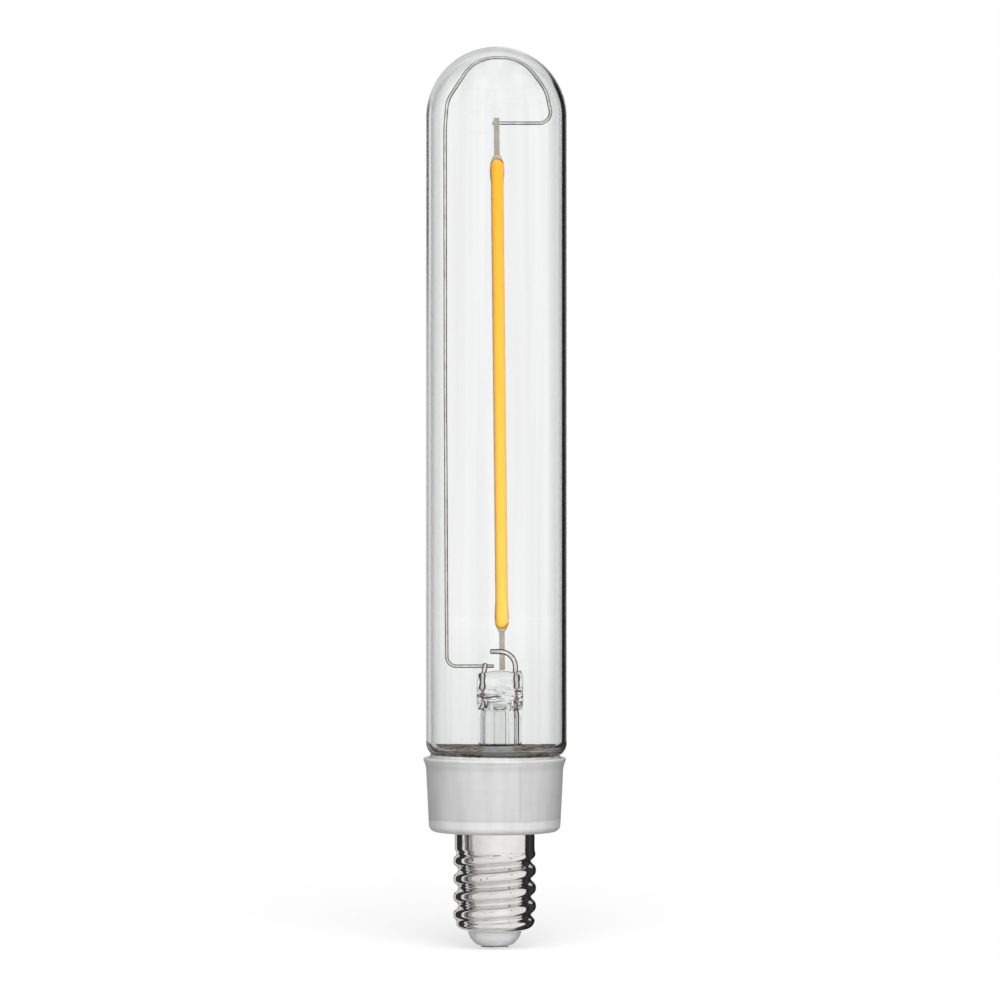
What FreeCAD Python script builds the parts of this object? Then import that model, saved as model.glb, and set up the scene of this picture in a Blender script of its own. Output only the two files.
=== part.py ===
import FreeCAD, Part
import math
import os
import re
import Sketcher

# A clear tubular LED filament lamp with a candelabra screw cap, cut down to the
# pieces that it is made of. Millimetres, +Z up along the lamp. The origin is the
# centre of the underside of the centre contact. The glass mount (stem, leads and
# filament) stands in the XZ plane.

Vector = FreeCAD.Vector

# Driving sizes. Each one can be changed by itself.
sizes = {
    # whole lamp
    "overall_length": 128.0,
    # cap: rolled candelabra thread, single start, right hand
    "thread_diameter": 11.8,
    "thread_depth": 0.7,
    "thread_pitch": 2.54,
    "thread_crest_height": 12.4,
    "band_diameter": 11.4,
    "band_length": 2.3,
    "thread_fade": 1.4,
    "shell_wall": 0.25,
    "shell_mouth_diameter": 8.2,
    "shell_turn_in": 1.0,
    "shell_length": 13.95,
    # insulator and centre contact
    "contact_diameter": 4.1,
    "contact_thickness": 0.35,
    "contact_round": 0.12,
    "shank_diameter": 2.2,
    "shank_rise": 0.6,
    "shank_hole_depth": 1.6,
    "shank_fit": 0.05,
    "insulator_height": 2.3,
    "insulator_foot_radius": 2.0,
    "insulator_heel_radius": 2.3,
    "insulator_heel_rise": 0.4,
    "insulator_brow_radius": 3.25,
    "insulator_brow_rise": 1.25,
    "insulator_step": 0.2,
    "insulator_plug_height": 2.2,
    "insulator_plug_neck": 0.45,
    "insulator_plug_taper": 0.7,
    "insulator_fit": 0.05,
    "plug_clearance": 0.2,
    # collar: moulded cup between the cap and the glass
    "collar_height": 10.5,
    "collar_draft": 0.37,
    "collar_corner": 1.0,
    "collar_wall": 0.78,
    "collar_floor": 2.2,
    "rim_overhang": 0.12,
    "rim_step": 0.4,
    "rim_height": 0.3,
    "rim_flare": 1.6,
    "rim_hollow": 0.08,
    "neck_length": 2.1,
    "neck_wall": 0.65,
    "neck_clearance": 0.08,
    "ledge_height": 1.2,
    "ledge_width": 0.5,
    # glass tube
    "glass_diameter": 20.0,
    "glass_wall": 0.65,
    "crown_wall": 0.65,
    "foot_corner": 2.1,
    "foot_wall": 0.95,
    "seal_inset": 3.0,
    "glass_shift": 0.25,
    # cement bed under the glass
    "cement_depth": 1.7,
    "cement_creep": 0.45,
    "cement_cover": 0.7,
    # stem: flare, tube and flattened press of one glass piece
    "mount_shift": 0.5,
    "stem_diameter": 6.1,
    "stem_bore": 5.1,
    "stem_tube_length": 5.7,
    "flare_round": 1.2,
    "flare_mouth_round": 1.0,
    "press_length": 6.4,
    "press_shoulder": 2.4,
    "press_width": 6.6,
    "press_thickness": 3.2,
    "press_round": 0.7,
    "press_squareness": 3.2,
    "bore_depth": 6.5,
    # exhaust tube
    "exhaust_diameter": 2.6,
    "exhaust_wall": 0.5,
    "exhaust_tail": 4.3,
    "exhaust_hole_rise": 1.2,
    # leads
    "lead_diameter": 0.72,
    "lead_spread": 2.2,
    "lead_bend": 0.9,
    "left_lead_spread": 2.3,
    "left_stub_rise": 1.3,
    "left_stub_lean": 0.25,
    "hook_rise": 2.95,
    "hook_bend": 2.2,
    "hook_end": 1.4,
    "seal_wire_diameter": 0.35,
    "seal_wire_top": 2.45,
    "right_seal_wire_length": 4.05,
    "left_seal_wire_length": 1.9,
    "outer_lead_diameter": 0.4,
    "outer_lead_bend": 1.5,
    "outer_lead_reach": 4.6,
    # return wire
    "return_wire_diameter": 0.5,
    "return_foot_rise": 0.85,
    "return_tail": 1.2,
    "return_bend": 1.35,
    "bar_drop": 0.8,
    "bar_end": 0.65,
    "bar_bend": 1.6,
    # filament
    "coat_diameter": 1.8,
    "coat_bulge_diameter": 2.1,
    "coat_bulge_length": 2.15,
    "coat_taper": 2.0,
    "coat_tip_diameter": 0.95,
    "coat_shoulder_diameter": 1.94,
    "coat_shoulder_length": 1.25,
    "tab_top_free": 4.55,
    "tab_top_past": 0.75,
    "tab_bottom_free": 2.75,
    "tab_bottom_past": 2.65,
    "tab_width": 0.8,
    "tab_thickness": 0.15,
    "tab_grip": 1.6,
    "weld_gap": 0.01,
    "strip_width": 0.8,
    "strip_thickness": 0.3,
    "strip_inset": 0.5,
    "filament_top_lean": 0.43,
    "filament_bottom_lean": 0.28,
    "chip_length": 1.1,
    "chip_width": 0.5,
    "chip_thickness": 0.2,
    "chip_end_gap": 0.9,
    # driver board and its parts
    "board_thickness": 1.0,
    "board_fit": 0.12,
    "hole_fit": 0.08,
    "leg_diameter": 0.45,
    "leg_stand": 0.55,
    "solder_height": 0.5,
    "solder_spread": 0.35,
    "rectifier_length": 4.7,
    "rectifier_width": 3.9,
    "rectifier_height": 1.6,
    "rectifier_edge": 3.75,
    "chip_body_length": 4.5,
    "chip_body_width": 2.5,
    "chip_body_height": 1.5,
    "chip_body_edge": 2.55,
    "chip_foot_reach": 0.6,
    "chip_foot_thickness": 0.2,
    "chip_foot_width": 0.5,
    "capacitor_diameter": 5.0,
    "capacitor_length": 8.5,
    "capacitor_round": 0.4,
    "capacitor_leg_gap": 2.0,
    "capacitor_offset": 1.6,
    "resistor_diameter": 2.2,
    "resistor_length": 6.0,
    "resistor_round": 0.5,
    "resistor_rise": 3.05,
    "resistor_offset": 2.95,
    "resistor_lead_bend": 0.7,
    "resistor_lead_drop": 1.3,
    "shell_wire_diameter": 0.4,
    "shell_wire_bend": 0.6,
    "shell_wire_offset": 1.6,
    "shell_wire_spread": 3.6,
    "shell_wire_clearance": 1.0,
    "shell_wire_drop": 0.5,
    "shell_wire_gap": 0.1,
}
chip_count = 26
thread_steps = 5  # stations of the threaded wall in one pitch
tube_sides = 36  # flats round the glass and the collar
cap_sides = 24  # flats round the threaded wall and what it holds
wire_sides = 8  # flats round a wire, a leg and its hole

# Sizes that follow from the driving ones.
follow = {
    "shell_base": "contact_thickness + insulator_height",
    "shell_top": "shell_base + shell_length",
    "rim_level": "shell_top + collar_height",
    "mount_axis": "glass_shift + mount_shift",
    "rim_diameter": "glass_diameter + 2 * rim_overhang",
    "collar_top_diameter": "rim_diameter - 2 * rim_step",
    "collar_foot_diameter": "collar_top_diameter - 2 * collar_draft",
    "seal_diameter": "glass_diameter - 2 * seal_inset",
    "bore_radius": "glass_diameter / 2 - glass_wall",
    "crown_centre": "overall_length - crown_wall - bore_radius",
    "press_top": "rim_level + stem_tube_length + press_length",
    "ledge_level": "shell_top + collar_floor + ledge_height",
    "board_top": "ledge_level + board_thickness",
    "shank_top": "shell_base + insulator_plug_height + shank_rise",
    "resistor_foot": "shank_top + resistor_rise",
    "board_radius": "collar_foot_diameter / 2 - collar_wall - board_fit",
    "rectifier_offset": "board_radius - rectifier_edge",
    "chip_body_offset": "board_radius - chip_body_edge",
    "chip_body_side": "chip_body_offset - chip_body_width / 2",
    "shell_wire_place": "-min(shell_wire_spread; chip_body_side - shell_wire_clearance)",
    "hook_level": "press_top + hook_rise",
    "bore_top": "rim_level + bore_depth",
    "seal_level": "press_top - seal_wire_top",
    "return_plane": "lead_diameter / 2 + return_wire_diameter / 2 + weld_gap",
    "bar_level": "crown_centre - bar_drop",
    "coat_top": "bar_level - tab_top_free",
    "coat_bottom": "hook_level + tab_bottom_free",
    "coat_length": "sqrt((coat_top - coat_bottom) ^ 2"
                   " + (filament_top_lean + filament_bottom_lean) ^ 2)",
}

doc = FreeCAD.newDocument("filament_lamp")
sheet = doc.addObject("Spreadsheet::Sheet", "Sizes")
rows = [(word, str(number)) for word, number in sizes.items()]
rows += [(word, "=" + formula) for word, formula in follow.items()]
for row, (word, text) in enumerate(rows, start=1):
    sheet.set("A%d" % row, word)
    sheet.set("B%d" % row, text)
    sheet.setAlias("B%d" % row, word)
doc.recompute()

nodes = {}


def value(formula):
    """The number that a formula of sheet words stands for."""
    if isinstance(formula, (int, float)):
        return float(formula)
    return float(sheet.evalExpression(formula))


def bind(thing, prop, formula):
    """Tie a property or constraint to the sheet."""
    if isinstance(formula, str):
        tied = re.sub(r"[a-z_]{4,}", lambda word: "Sizes." + word.group(0)
                      if word.group(0) in sizes or word.group(0) in follow
                      else word.group(0), formula)
        thing.setExpression(prop, tied)


def keep(name, thing):
    """Name a finished sub-part, which gives its file the same name."""
    thing.Label = name
    nodes[name] = thing
    return thing


def new_body(name, x=0, y=0, z=0):
    """A body whose own origin lies at x, y, z of the lamp."""
    body = doc.addObject("PartDesign::Body", name + "_body")
    body.Placement.Base = Vector(value(x), value(y), value(z))
    for prop, formula in (("x", x), ("y", y), ("z", z)):
        bind(body, "Placement.Base." + prop, formula)
    return body


def dimension(sketch, kind, places, formula):
    """One driving dimension, tied to the sheet."""
    number = sketch.addConstraint(Sketcher.Constraint(kind, *places, value(formula)))
    bind(sketch, "Constraints[%d]" % number, formula)


def outline(sketch, corners):
    """A closed outline of straight edges from corner to corner."""
    at = [Vector(value(x), value(y), 0) for x, y in corners]
    for number, start in enumerate(at):
        sketch.addGeometry(Part.LineSegment(start, at[(number + 1) % len(at)]), False)
    for number in range(len(at)):
        after = (number + 1) % len(at)
        sketch.addConstraint(Sketcher.Constraint("Coincident", number, 2, after, 1))
    for number, (x, y) in enumerate(corners):
        dimension(sketch, "DistanceX", (-1, 1, number, 1), x)
        dimension(sketch, "DistanceY", (-1, 1, number, 1), y)


def chords(x, y, radius, first, last, count):
    """Corners along an arc round x, y, from one angle to another in degrees."""
    corners = []
    for number in range(count + 1):
        angle = math.radians(first + (last - first) * number / count)
        corners.append(("(%s) + %.6f * (%s)" % (x, math.cos(angle), radius),
                        "(%s) + %.6f * (%s)" % (y, math.sin(angle), radius)))
    return corners


def turned(body, name, corners):
    """An outline in the body's XZ plane, turned round its Z axis."""
    sketch = body.newObject("Sketcher::SketchObject", name + "_outline")
    plane = [item for item in body.Origin.OriginFeatures if item.Role == "XZ_Plane"][0]
    sketch.AttachmentSupport = [(plane, "")]
    sketch.MapMode = "FlatFace"
    outline(sketch, corners)
    feature = body.newObject("PartDesign::Revolution", name)
    feature.Profile = sketch
    feature.ReferenceAxis = (sketch, ["V_Axis"])
    feature.Angle = 360
    return feature


def bent_path(points):
    """A wire path through points (x, y, z, bend radius): straight runs joined by
    tangent arcs. The first and last points take no bend."""
    places = [Vector(*point[:3]) for point in points]
    edges = []
    start = places[0]
    for number in range(1, len(places) - 1):
        back = (places[number - 1] - places[number]).normalize()
        onward = (places[number + 1] - places[number]).normalize()
        half = back.getAngle(onward) / 2
        radius = points[number][3]
        leave = places[number] + back * (radius / math.tan(half))
        join = places[number] + onward * (radius / math.tan(half))
        inward = (back + onward).normalize()
        middle = places[number] + inward * (radius / math.sin(half) - radius)
        edges.append(Part.LineSegment(start, leave).toShape())
        edges.append(Part.Arc(leave, middle, join).toShape())
        start = join
    edges.append(Part.LineSegment(start, places[-1]).toShape())
    return Part.Wire(edges)


def ring(radius, sides, centre, depth=None, squareness=2.0):
    """A level closed ring. With a depth of its own it is flattened, and a squareness
    over 2 fills out its corners."""
    depth = radius if depth is None else depth
    places = []
    for number in range(sides):
        angle = 2 * math.pi * number / sides
        across = math.copysign(abs(math.cos(angle)) ** (2 / squareness), math.cos(angle))
        along = math.copysign(abs(math.sin(angle)) ** (2 / squareness), math.sin(angle))
        places.append(centre + Vector(radius * across, depth * along, 0))
    return Part.makePolygon(places + places[:1])


def wire_ring(radius, centre, heading):
    """The section of a wire, with its flats at the wire's radius."""
    turn = FreeCAD.Rotation(Vector(0, 0, 1), heading)
    reach = radius / math.cos(math.pi / wire_sides)
    places = []
    for number in range(wire_sides):
        angle = 2 * math.pi * (number + 0.5) / wire_sides
        corner = Vector(reach * math.cos(angle), reach * math.sin(angle), 0)
        places.append(centre + turn.multVec(corner))
    return Part.makePolygon(places + places[:1])


def bent_wire(points, diameter):
    """Wire bent along a path."""
    start = Vector(*points[0][:3])
    section = wire_ring(diameter / 2, start, Vector(*points[1][:3]) - start)
    return bent_path(points).makePipeShell([section], True, False)


def straight(edge):
    """Whether an edge runs straight from end to end."""
    ends = [vertex.Point for vertex in edge.Vertexes]
    return abs(edge.Length - ends[0].distanceToPoint(ends[-1])) < 1e-6


def plain_solid(solid):
    """A solid of straight edges with those edges as lines and its flats as planes. A
    four-cornered face that is not flat becomes two triangles."""
    if not all(straight(edge) for edge in solid.Edges):
        return solid
    faces = []
    for face in solid.Faces:
        loops = [[vertex.Point for vertex in wire.OrderedVertexes] for wire in face.Wires]
        if face.findPlane(1e-5) is None:
            a, b, c, d = loops[0]
            faces += [Part.Face(Part.makePolygon([a, b, c, a])),
                      Part.Face(Part.makePolygon([a, c, d, a]))]
        else:
            faces.append(Part.Face([Part.makePolygon(loop + loop[:1]) for loop in loops]))
    shell = Part.Shell(faces)
    shell.sewShape()
    plain = Part.Solid(shell)
    if plain.Volume < 0:
        plain.reverse()
    return plain


def shaped(name, shape):
    """A sub-part whose shape is made by functions."""
    thing = doc.addObject("Part::Feature", name + "_shape")
    thing.Shape = shape
    return thing


def box(name, length, width, height, x, y, z):
    """A box centred on x, y and standing on z."""
    thing = doc.addObject("Part::Box", name)
    for prop, formula in (("Length", length), ("Width", width), ("Height", height)):
        setattr(thing, prop, value(formula))
        bind(thing, prop, formula)
    thing.Placement.Base = Vector(value(x) - value(length) / 2, value(y) - value(width) / 2, value(z))
    bind(thing, "Placement.Base.x", "(%s) - (%s) / 2" % (x, length))
    bind(thing, "Placement.Base.y", "(%s) - (%s) / 2" % (y, width))
    bind(thing, "Placement.Base.z", str(z))
    return thing


def pin(name, radius, height, x, y, z, turn=FreeCAD.Rotation()):
    """A straight wire, or the room for one, that starts at x, y, z. It stands upright
    unless it is turned."""
    thing = doc.addObject("Part::Prism", name)
    thing.Polygon = wire_sides
    half_turn = 180 / wire_sides
    corner = "(%s) / %.6f" % (radius, math.cos(math.radians(half_turn)))
    for prop, formula in (("Circumradius", corner), ("Height", height)):
        setattr(thing, prop, value(formula))
        bind(thing, prop, formula)
    flats = FreeCAD.Rotation(Vector(0, 0, 1), half_turn)
    thing.Placement = FreeCAD.Placement(Vector(value(x), value(y), value(z)), turn.multiply(flats))
    for prop, formula in (("x", x), ("y", y), ("z", z)):
        bind(thing, "Placement.Base." + prop, str(formula))
    return thing


def fused(name, things):
    """Several primitives that are one piece."""
    thing = doc.addObject("Part::MultiFuse", name + "_fuse")
    thing.Shapes = things
    return thing


def stacked(name, levels, sides, x=0):
    """Level rings, each a radius and a height, joined one to the next. A radius of 0
    is a point, and two rings at one height make a step."""
    stacks = []
    for number, (radius, height) in enumerate(levels):
        level = doc.addObject("Part::Vertex" if radius == 0 else "Part::RegularPolygon",
                              "%s_ring_%02d" % (name, number + 1))
        if radius != 0:
            level.Polygon = sides
            level.Circumradius = value(radius)
            bind(level, "Circumradius", radius)
        level.Placement.Base = Vector(value(x), 0, value(height))
        bind(level, "Placement.Base.x", x)
        bind(level, "Placement.Base.z", height)
        if number == 0 or abs(value(height) - value(levels[number - 1][1])) < 1e-6:
            stacks.append([])
        stacks[-1].append(level)
    things = []
    for number, rings in enumerate(stacks):
        thing = doc.addObject("Part::Loft", "%s_%d" % (name, number + 1))
        thing.Sections = rings
        thing.Solid = True
        thing.Ruled = True
        things.append(thing)
    return things[0] if len(things) == 1 else fused(name, things)


def less(name, base, tools):
    """A piece less the space that other pieces take."""
    tool = tools[0]
    if len(tools) > 1:
        tool = doc.addObject("Part::Compound", name + "_tools")
        tool.Links = tools
    thing = doc.addObject("Part::Cut", name + "_cut")
    thing.Base = base
    thing.Tool = tool
    return thing


# Thread of the screw shell.
# Cut level by level, a rolled single-start thread is a circle whose centre stands
# off the axis towards the crest and walks once round it in each pitch.

def ramp(part):
    """0 to 1 with a level start and finish."""
    part = min(max(part, 0.0), 1.0)
    return part * part * (3 - 2 * part)


def shell_ring(height):
    """Radius of the wall's outside at a height, and the place of its centre."""
    crest = value("thread_diameter") / 2
    throw = value("thread_depth") / 2
    mean = crest - throw
    base = value("shell_base")
    top = value("shell_top") - value("band_length")
    turn_in = value("shell_turn_in")
    fade = value("thread_fade")
    mouth = value("shell_mouth_diameter") / 2
    rise = min((height - base) / turn_in, 1.0)
    radius = mouth + (mean - mouth) * math.sqrt(1 - (1 - rise) ** 2)
    radius += (value("band_diameter") / 2 - mean) * ramp((height - top + fade) / fade)
    throw *= ramp((height - base - turn_in / 2) / fade)
    throw *= ramp((top - height) / fade)
    angle = math.pi + 2 * math.pi * (height - value("thread_crest_height")) / value("thread_pitch")
    return radius, Vector(throw * math.cos(angle), throw * math.sin(angle), height)


def shell_stations():
    """Heights at which the wall is cut: close in the turned-in foot, then even steps."""
    base = value("shell_base")
    turn_in = value("shell_turn_in")
    top = value("shell_top") - value("band_length")
    stations = [base + turn_in * (1 - math.cos(math.radians(degrees))) for degrees in (0, 30, 60)]
    steps = math.ceil((top - base - turn_in) / (value("thread_pitch") / thread_steps))
    for step in range(steps + 1):
        stations.append(base + turn_in + (top - base - turn_in) * step / steps)
    stations.append(value("shell_top"))
    return stations


def shell_skin(inset):
    """Solid up to the wall's outside, or up to its inside with the wall as inset."""
    rings = []
    for height in shell_stations():
        radius, centre = shell_ring(height)
        rings.append(ring(radius - inset, cap_sides, centre))
    return plain_solid(Part.makeLoft(rings, True, True))


keep("screw_shell", shaped("screw_shell", shell_skin(0).cut(shell_skin(value("shell_wall")))))

# Centre contact: disc and shank with a hole for the lead.
contact_blank = stacked("contact_blank", [
    ("contact_diameter / 2 - contact_round", 0),
    ("contact_diameter / 2", "contact_round"),
    ("contact_diameter / 2", "contact_thickness"),
    ("shank_diameter / 2", "contact_thickness"),
    ("shank_diameter / 2", "shank_top"),
], cap_sides)
shank_hole = pin("shank_hole", "leg_diameter / 2 + hole_fit", "shank_hole_depth",
                 0, 0, "shank_top - shank_hole_depth")
keep("centre_contact", less("centre_contact", contact_blank, [shank_hole]))

# Insulator: cone under the shell and a plug that fills the shell's foot.
plug_radius = "(thread_diameter - 2 * thread_depth) / 2 - shell_wall - plug_clearance"
insulator_blank = stacked("insulator_blank", [
    ("insulator_foot_radius", "contact_thickness"),
    ("insulator_heel_radius", "contact_thickness + insulator_heel_rise"),
    ("insulator_brow_radius", "contact_thickness + insulator_brow_rise"),
    ("shell_mouth_diameter / 2 - insulator_step", "shell_base"),
    ("shell_mouth_diameter / 2 - shell_wall - insulator_fit", "shell_base"),
    ("shell_mouth_diameter / 2 - shell_wall - insulator_fit", "shell_base + insulator_plug_neck"),
    (plug_radius, "shell_base + insulator_plug_neck + insulator_plug_taper"),
    (plug_radius, "shell_base + insulator_plug_height"),
], cap_sides)
shank_room = stacked("shank_room", [
    ("shank_diameter / 2 + shank_fit", "contact_thickness"),
    ("shank_diameter / 2 + shank_fit", "shell_base + insulator_plug_height"),
], cap_sides)
keep("insulator", less("insulator", insulator_blank, [shank_room]))

# Collar: cup with a solid floor, a neck down into the shell and a flared rim.
neck_radius = "band_diameter / 2 - shell_wall - neck_clearance"
cup = stacked("collar_cup", [
    (neck_radius, "shell_top - neck_length"),
    (neck_radius, "shell_top"),
    *chords("collar_foot_diameter / 2 - collar_corner", "shell_top + collar_corner",
            "collar_corner", -90, 0, 3),
    ("collar_top_diameter / 2", "rim_level - rim_height - rim_flare"),
    ("(collar_top_diameter + rim_diameter) / 4 - rim_hollow",
     "rim_level - rim_height - rim_flare / 2"),
    ("rim_diameter / 2", "rim_level - rim_height"),
    ("rim_diameter / 2", "rim_level"),
], tube_sides)
cup_room = stacked("collar_room", [
    (neck_radius + " - neck_wall", "shell_top - neck_length"),
    (neck_radius + " - neck_wall", "shell_top + collar_floor"),
    ("collar_foot_diameter / 2 - collar_wall - ledge_width", "shell_top + collar_floor"),
    ("collar_foot_diameter / 2 - collar_wall - ledge_width", "ledge_level"),
    ("collar_foot_diameter / 2 - collar_wall", "ledge_level"),
    ("collar_top_diameter / 2 - collar_wall", "rim_level - cement_depth"),
    ("rim_diameter / 2 - collar_wall", "rim_level"),
], tube_sides)
keep("collar", less("collar", cup, [cup_room]))

# Glass tube with a domed crown, and an opening in its foot for the stem's flare.
glass_blank = stacked("glass_blank", [
    *chords("glass_diameter / 2 - foot_corner", "rim_level + foot_corner", "foot_corner", -90, 0, 3),
    *chords("0", "overall_length - glass_diameter / 2", "glass_diameter / 2", 0, 75, 5),
    (0, "overall_length"),
], tube_sides, "glass_shift")
glass_room = stacked("glass_room", [
    *chords("glass_diameter / 2 - foot_corner", "rim_level + foot_wall + foot_corner - glass_wall",
            "foot_corner - glass_wall", -90, 0, 2),
    *chords("0", "crown_centre", "bore_radius", 0, 75, 5),
    (0, "overall_length - crown_wall"),
], tube_sides, "glass_shift")
seal_opening = stacked("seal_opening", [
    ("seal_diameter / 2", "rim_level"),
    ("seal_diameter / 2", "rim_level + foot_wall"),
], tube_sides, "mount_axis")
glass = keep("glass_envelope", less("glass_envelope", glass_blank, [glass_room, seal_opening]))

# Stem: flare, tube and flattened press of one piece, with a bore from below.
tube_end = value("rim_level + stem_tube_length")
press_top = value("press_top")
stem_rim = stacked("stem_rim", [
    ("seal_diameter / 2", "rim_level"),
    ("seal_diameter / 2", "rim_level + foot_wall"),
], tube_sides, "mount_axis")
flare_levels = chords("stem_diameter / 2 + flare_round", "rim_level + foot_wall + flare_round",
                      "flare_round", -90, -180, 3)
stem_rings = [ring(value(radius), tube_sides, Vector(value("mount_axis"), 0, value(height)))
              for radius, height in flare_levels + [("stem_diameter / 2", tube_end)]]
press_round = value("press_round")
press_levels = [(tube_end + value("press_shoulder"), 0)]
for degrees in (0, 45, 90):
    inset = press_round * (1 - math.cos(math.radians(degrees)))
    press_levels.append((press_top - press_round * (1 - math.sin(math.radians(degrees))), inset))
for height, inset in press_levels:
    stem_rings.append(ring(value("press_width") / 2 - inset, tube_sides,
                           Vector(value("mount_axis"), 0, height),
                           value("press_thickness") / 2 - inset, value("press_squareness")))
stem_body = shaped("stem_body", plain_solid(Part.makeLoft(stem_rings, True, True)))
stem = fused("stem_blank", [stem_rim, stem_body])
stem_room = stacked("stem_room", [
    *chords("stem_bore / 2 + flare_mouth_round", "rim_level + flare_mouth_round",
            "flare_mouth_round", -90, -180, 2),
    ("stem_bore / 2", "bore_top"),
], cap_sides, "mount_axis")
channel_radius = "exhaust_diameter / 2 - exhaust_wall"
channel = pin("exhaust_channel", channel_radius, "exhaust_hole_rise", "mount_axis", 0, "bore_top")
hole = pin("exhaust_hole", channel_radius, "press_thickness", "mount_axis",
           "press_thickness / 2", "bore_top + exhaust_hole_rise",
           FreeCAD.Rotation(Vector(1, 0, 0), 90))

# Exhaust tube, tipped off below the flare.
exhaust_foot = "rim_level - exhaust_tail"
exhaust_blank = stacked("exhaust_blank", [
    (0, exhaust_foot),
    *chords("0", exhaust_foot + " + exhaust_diameter / 2", "exhaust_diameter / 2", -60, 0, 2),
    ("exhaust_diameter / 2", "bore_top"),
], wire_sides * 2, "mount_axis")
exhaust_room = stacked("exhaust_room", [
    (channel_radius, exhaust_foot + " + exhaust_diameter / 2"),
    (channel_radius, "bore_top"),
], wire_sides * 2, "mount_axis")
keep("exhaust_tube", less("exhaust_tube", exhaust_blank, [exhaust_room]))

# Cement bed: a ring in the collar's mouth that takes the print of the glass foot.
cement_blank = stacked("cement_blank", [
    ("collar_top_diameter / 2 - collar_wall", "rim_level - cement_depth"),
    ("rim_diameter / 2 - collar_wall", "rim_level"),
    ("rim_diameter / 2 - collar_wall - cement_creep / 2", "rim_level + cement_creep"),
], tube_sides)
cement_room = stacked("cement_room", [
    ("seal_diameter / 2 - cement_cover", "rim_level - cement_depth"),
    ("seal_diameter / 2 - cement_cover", "rim_level + cement_creep"),
], tube_sides)

# Leads in the press: thick inner leads, thin seal wires, then the outer leads.
axis = value("mount_axis")
seal_level = value("seal_level")
hook_level = value("hook_level")
left_lead = axis - value("left_lead_spread")
right_lead = axis + value("lead_spread")
stub_end = left_lead + value("left_stub_lean")
lead_bend = value("lead_bend")

keep("lead_left", shaped("lead_left", bent_wire([
    (left_lead, 0, seal_level),
    (left_lead, 0, press_top - value("left_stub_lean"), lead_bend),
    (stub_end, 0, press_top + value("left_stub_rise")),
], value("lead_diameter"))))
keep("lead_right", shaped("lead_right", bent_wire([
    (right_lead, 0, seal_level),
    (right_lead, 0, hook_level, value("hook_bend")),
    (axis - value("hook_end"), 0, hook_level),
], value("lead_diameter"))))
keep("seal_wire_left", pin(
    "seal_wire_left_pin", "seal_wire_diameter / 2", "left_seal_wire_length",
    "mount_axis - left_lead_spread", 0, "seal_level - left_seal_wire_length"))
keep("seal_wire_right", pin(
    "seal_wire_right_pin", "seal_wire_diameter / 2", "right_seal_wire_length",
    "mount_axis + lead_spread", 0, "seal_level - right_seal_wire_length"))

for side, start, length, reach in (
        ("left", left_lead, "left_seal_wire_length", -value("outer_lead_reach")),
        ("right", right_lead, "right_seal_wire_length", value("outer_lead_reach"))):
    keep("outer_lead_" + side, shaped("outer_lead_" + side, bent_wire([
        (start, 0, seal_level - value(length)),
        (start, 0, value("rim_level"), value("outer_lead_bend")),
        (reach, 0, value("board_top + outer_lead_bend"), value("outer_lead_bend") / 2),
        (reach, 0, value("ledge_level - leg_stand")),
    ], value("outer_lead_diameter"))))

# Return wire: up one side, round the inside of the crown and back across as a bar.
# Its places are given from the crown's centre, in bore radii, each with its bend.
crown_route = (
    (-0.784, -0.15, 2.1),
    (-0.751, 0.262, 0.43),
    (-0.321, 0.925, 0.556),
    (0.389, 0.925, 0.6),
    (0.765, 0.4075, 0.59),
)
bar_corner = 0.863
riser_foot = -0.757
riser_bow = -0.779  # how far out the riser stands half way up
bore = value("bore_radius")
tube_axis = value("glass_shift")
crown_centre = value("crown_centre")
plane = value("return_plane")
foot_level = value("press_top + return_foot_rise")
bar_level = value("bar_level")
route = [(stub_end + value("return_tail"), plane, foot_level)]
route.append((tube_axis + riser_foot * bore, plane, foot_level, value("return_bend")))
route.append((tube_axis + riser_bow * bore, plane, (foot_level + crown_centre) / 2, 20 * bore))
for across, up, bend in crown_route:
    route.append((tube_axis + across * bore, plane, crown_centre + up * bore, bend * bore))
route.append((tube_axis + bar_corner * bore, plane, bar_level, value("bar_bend")))
route.append((axis - value("filament_top_lean") - value("bar_end"), plane, bar_level))
keep("return_wire", shaped("return_wire", bent_wire(route, value("return_wire_diameter"))))

# The glass, stem and cement give way to what is set in them.
in_press = [nodes[name] for name in (
    "lead_left", "lead_right", "seal_wire_left", "seal_wire_right", "outer_lead_left")]
keep("glass_stem", less("glass_stem", stem, [stem_room, channel, hole] + in_press))
keep("bedding_cement", less("bedding_cement", cement_blank, [cement_room, glass, stem]))

# Filament: all its pieces share one leaning frame, whose origin is the coat's foot
# and whose XZ plane is the middle of the tabs.
foot = Vector(value("mount_axis + filament_bottom_lean"),
              value("lead_diameter / 2 + tab_thickness / 2 + weld_gap"), value("coat_bottom"))
head = Vector(value("mount_axis - filament_top_lean"),
              value("return_plane - return_wire_diameter / 2 - tab_thickness / 2 - weld_gap"),
              value("coat_top"))
leaning = FreeCAD.Placement(foot, FreeCAD.Rotation(Vector(0, 0, 1), head - foot))


def leaning_box(name, length, width, height, y, z):
    """A box of the filament's frame, centred on x, with its front at y."""
    thing = doc.addObject("Part::Box", name)
    for prop, formula in (("Length", length), ("Width", width), ("Height", height)):
        setattr(thing, prop, value(formula))
        bind(thing, prop, formula)
    place = Vector(-value(length) / 2, value(y), value(z))
    thing.Placement = leaning.multiply(FreeCAD.Placement(place, FreeCAD.Rotation()))
    return thing


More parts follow.
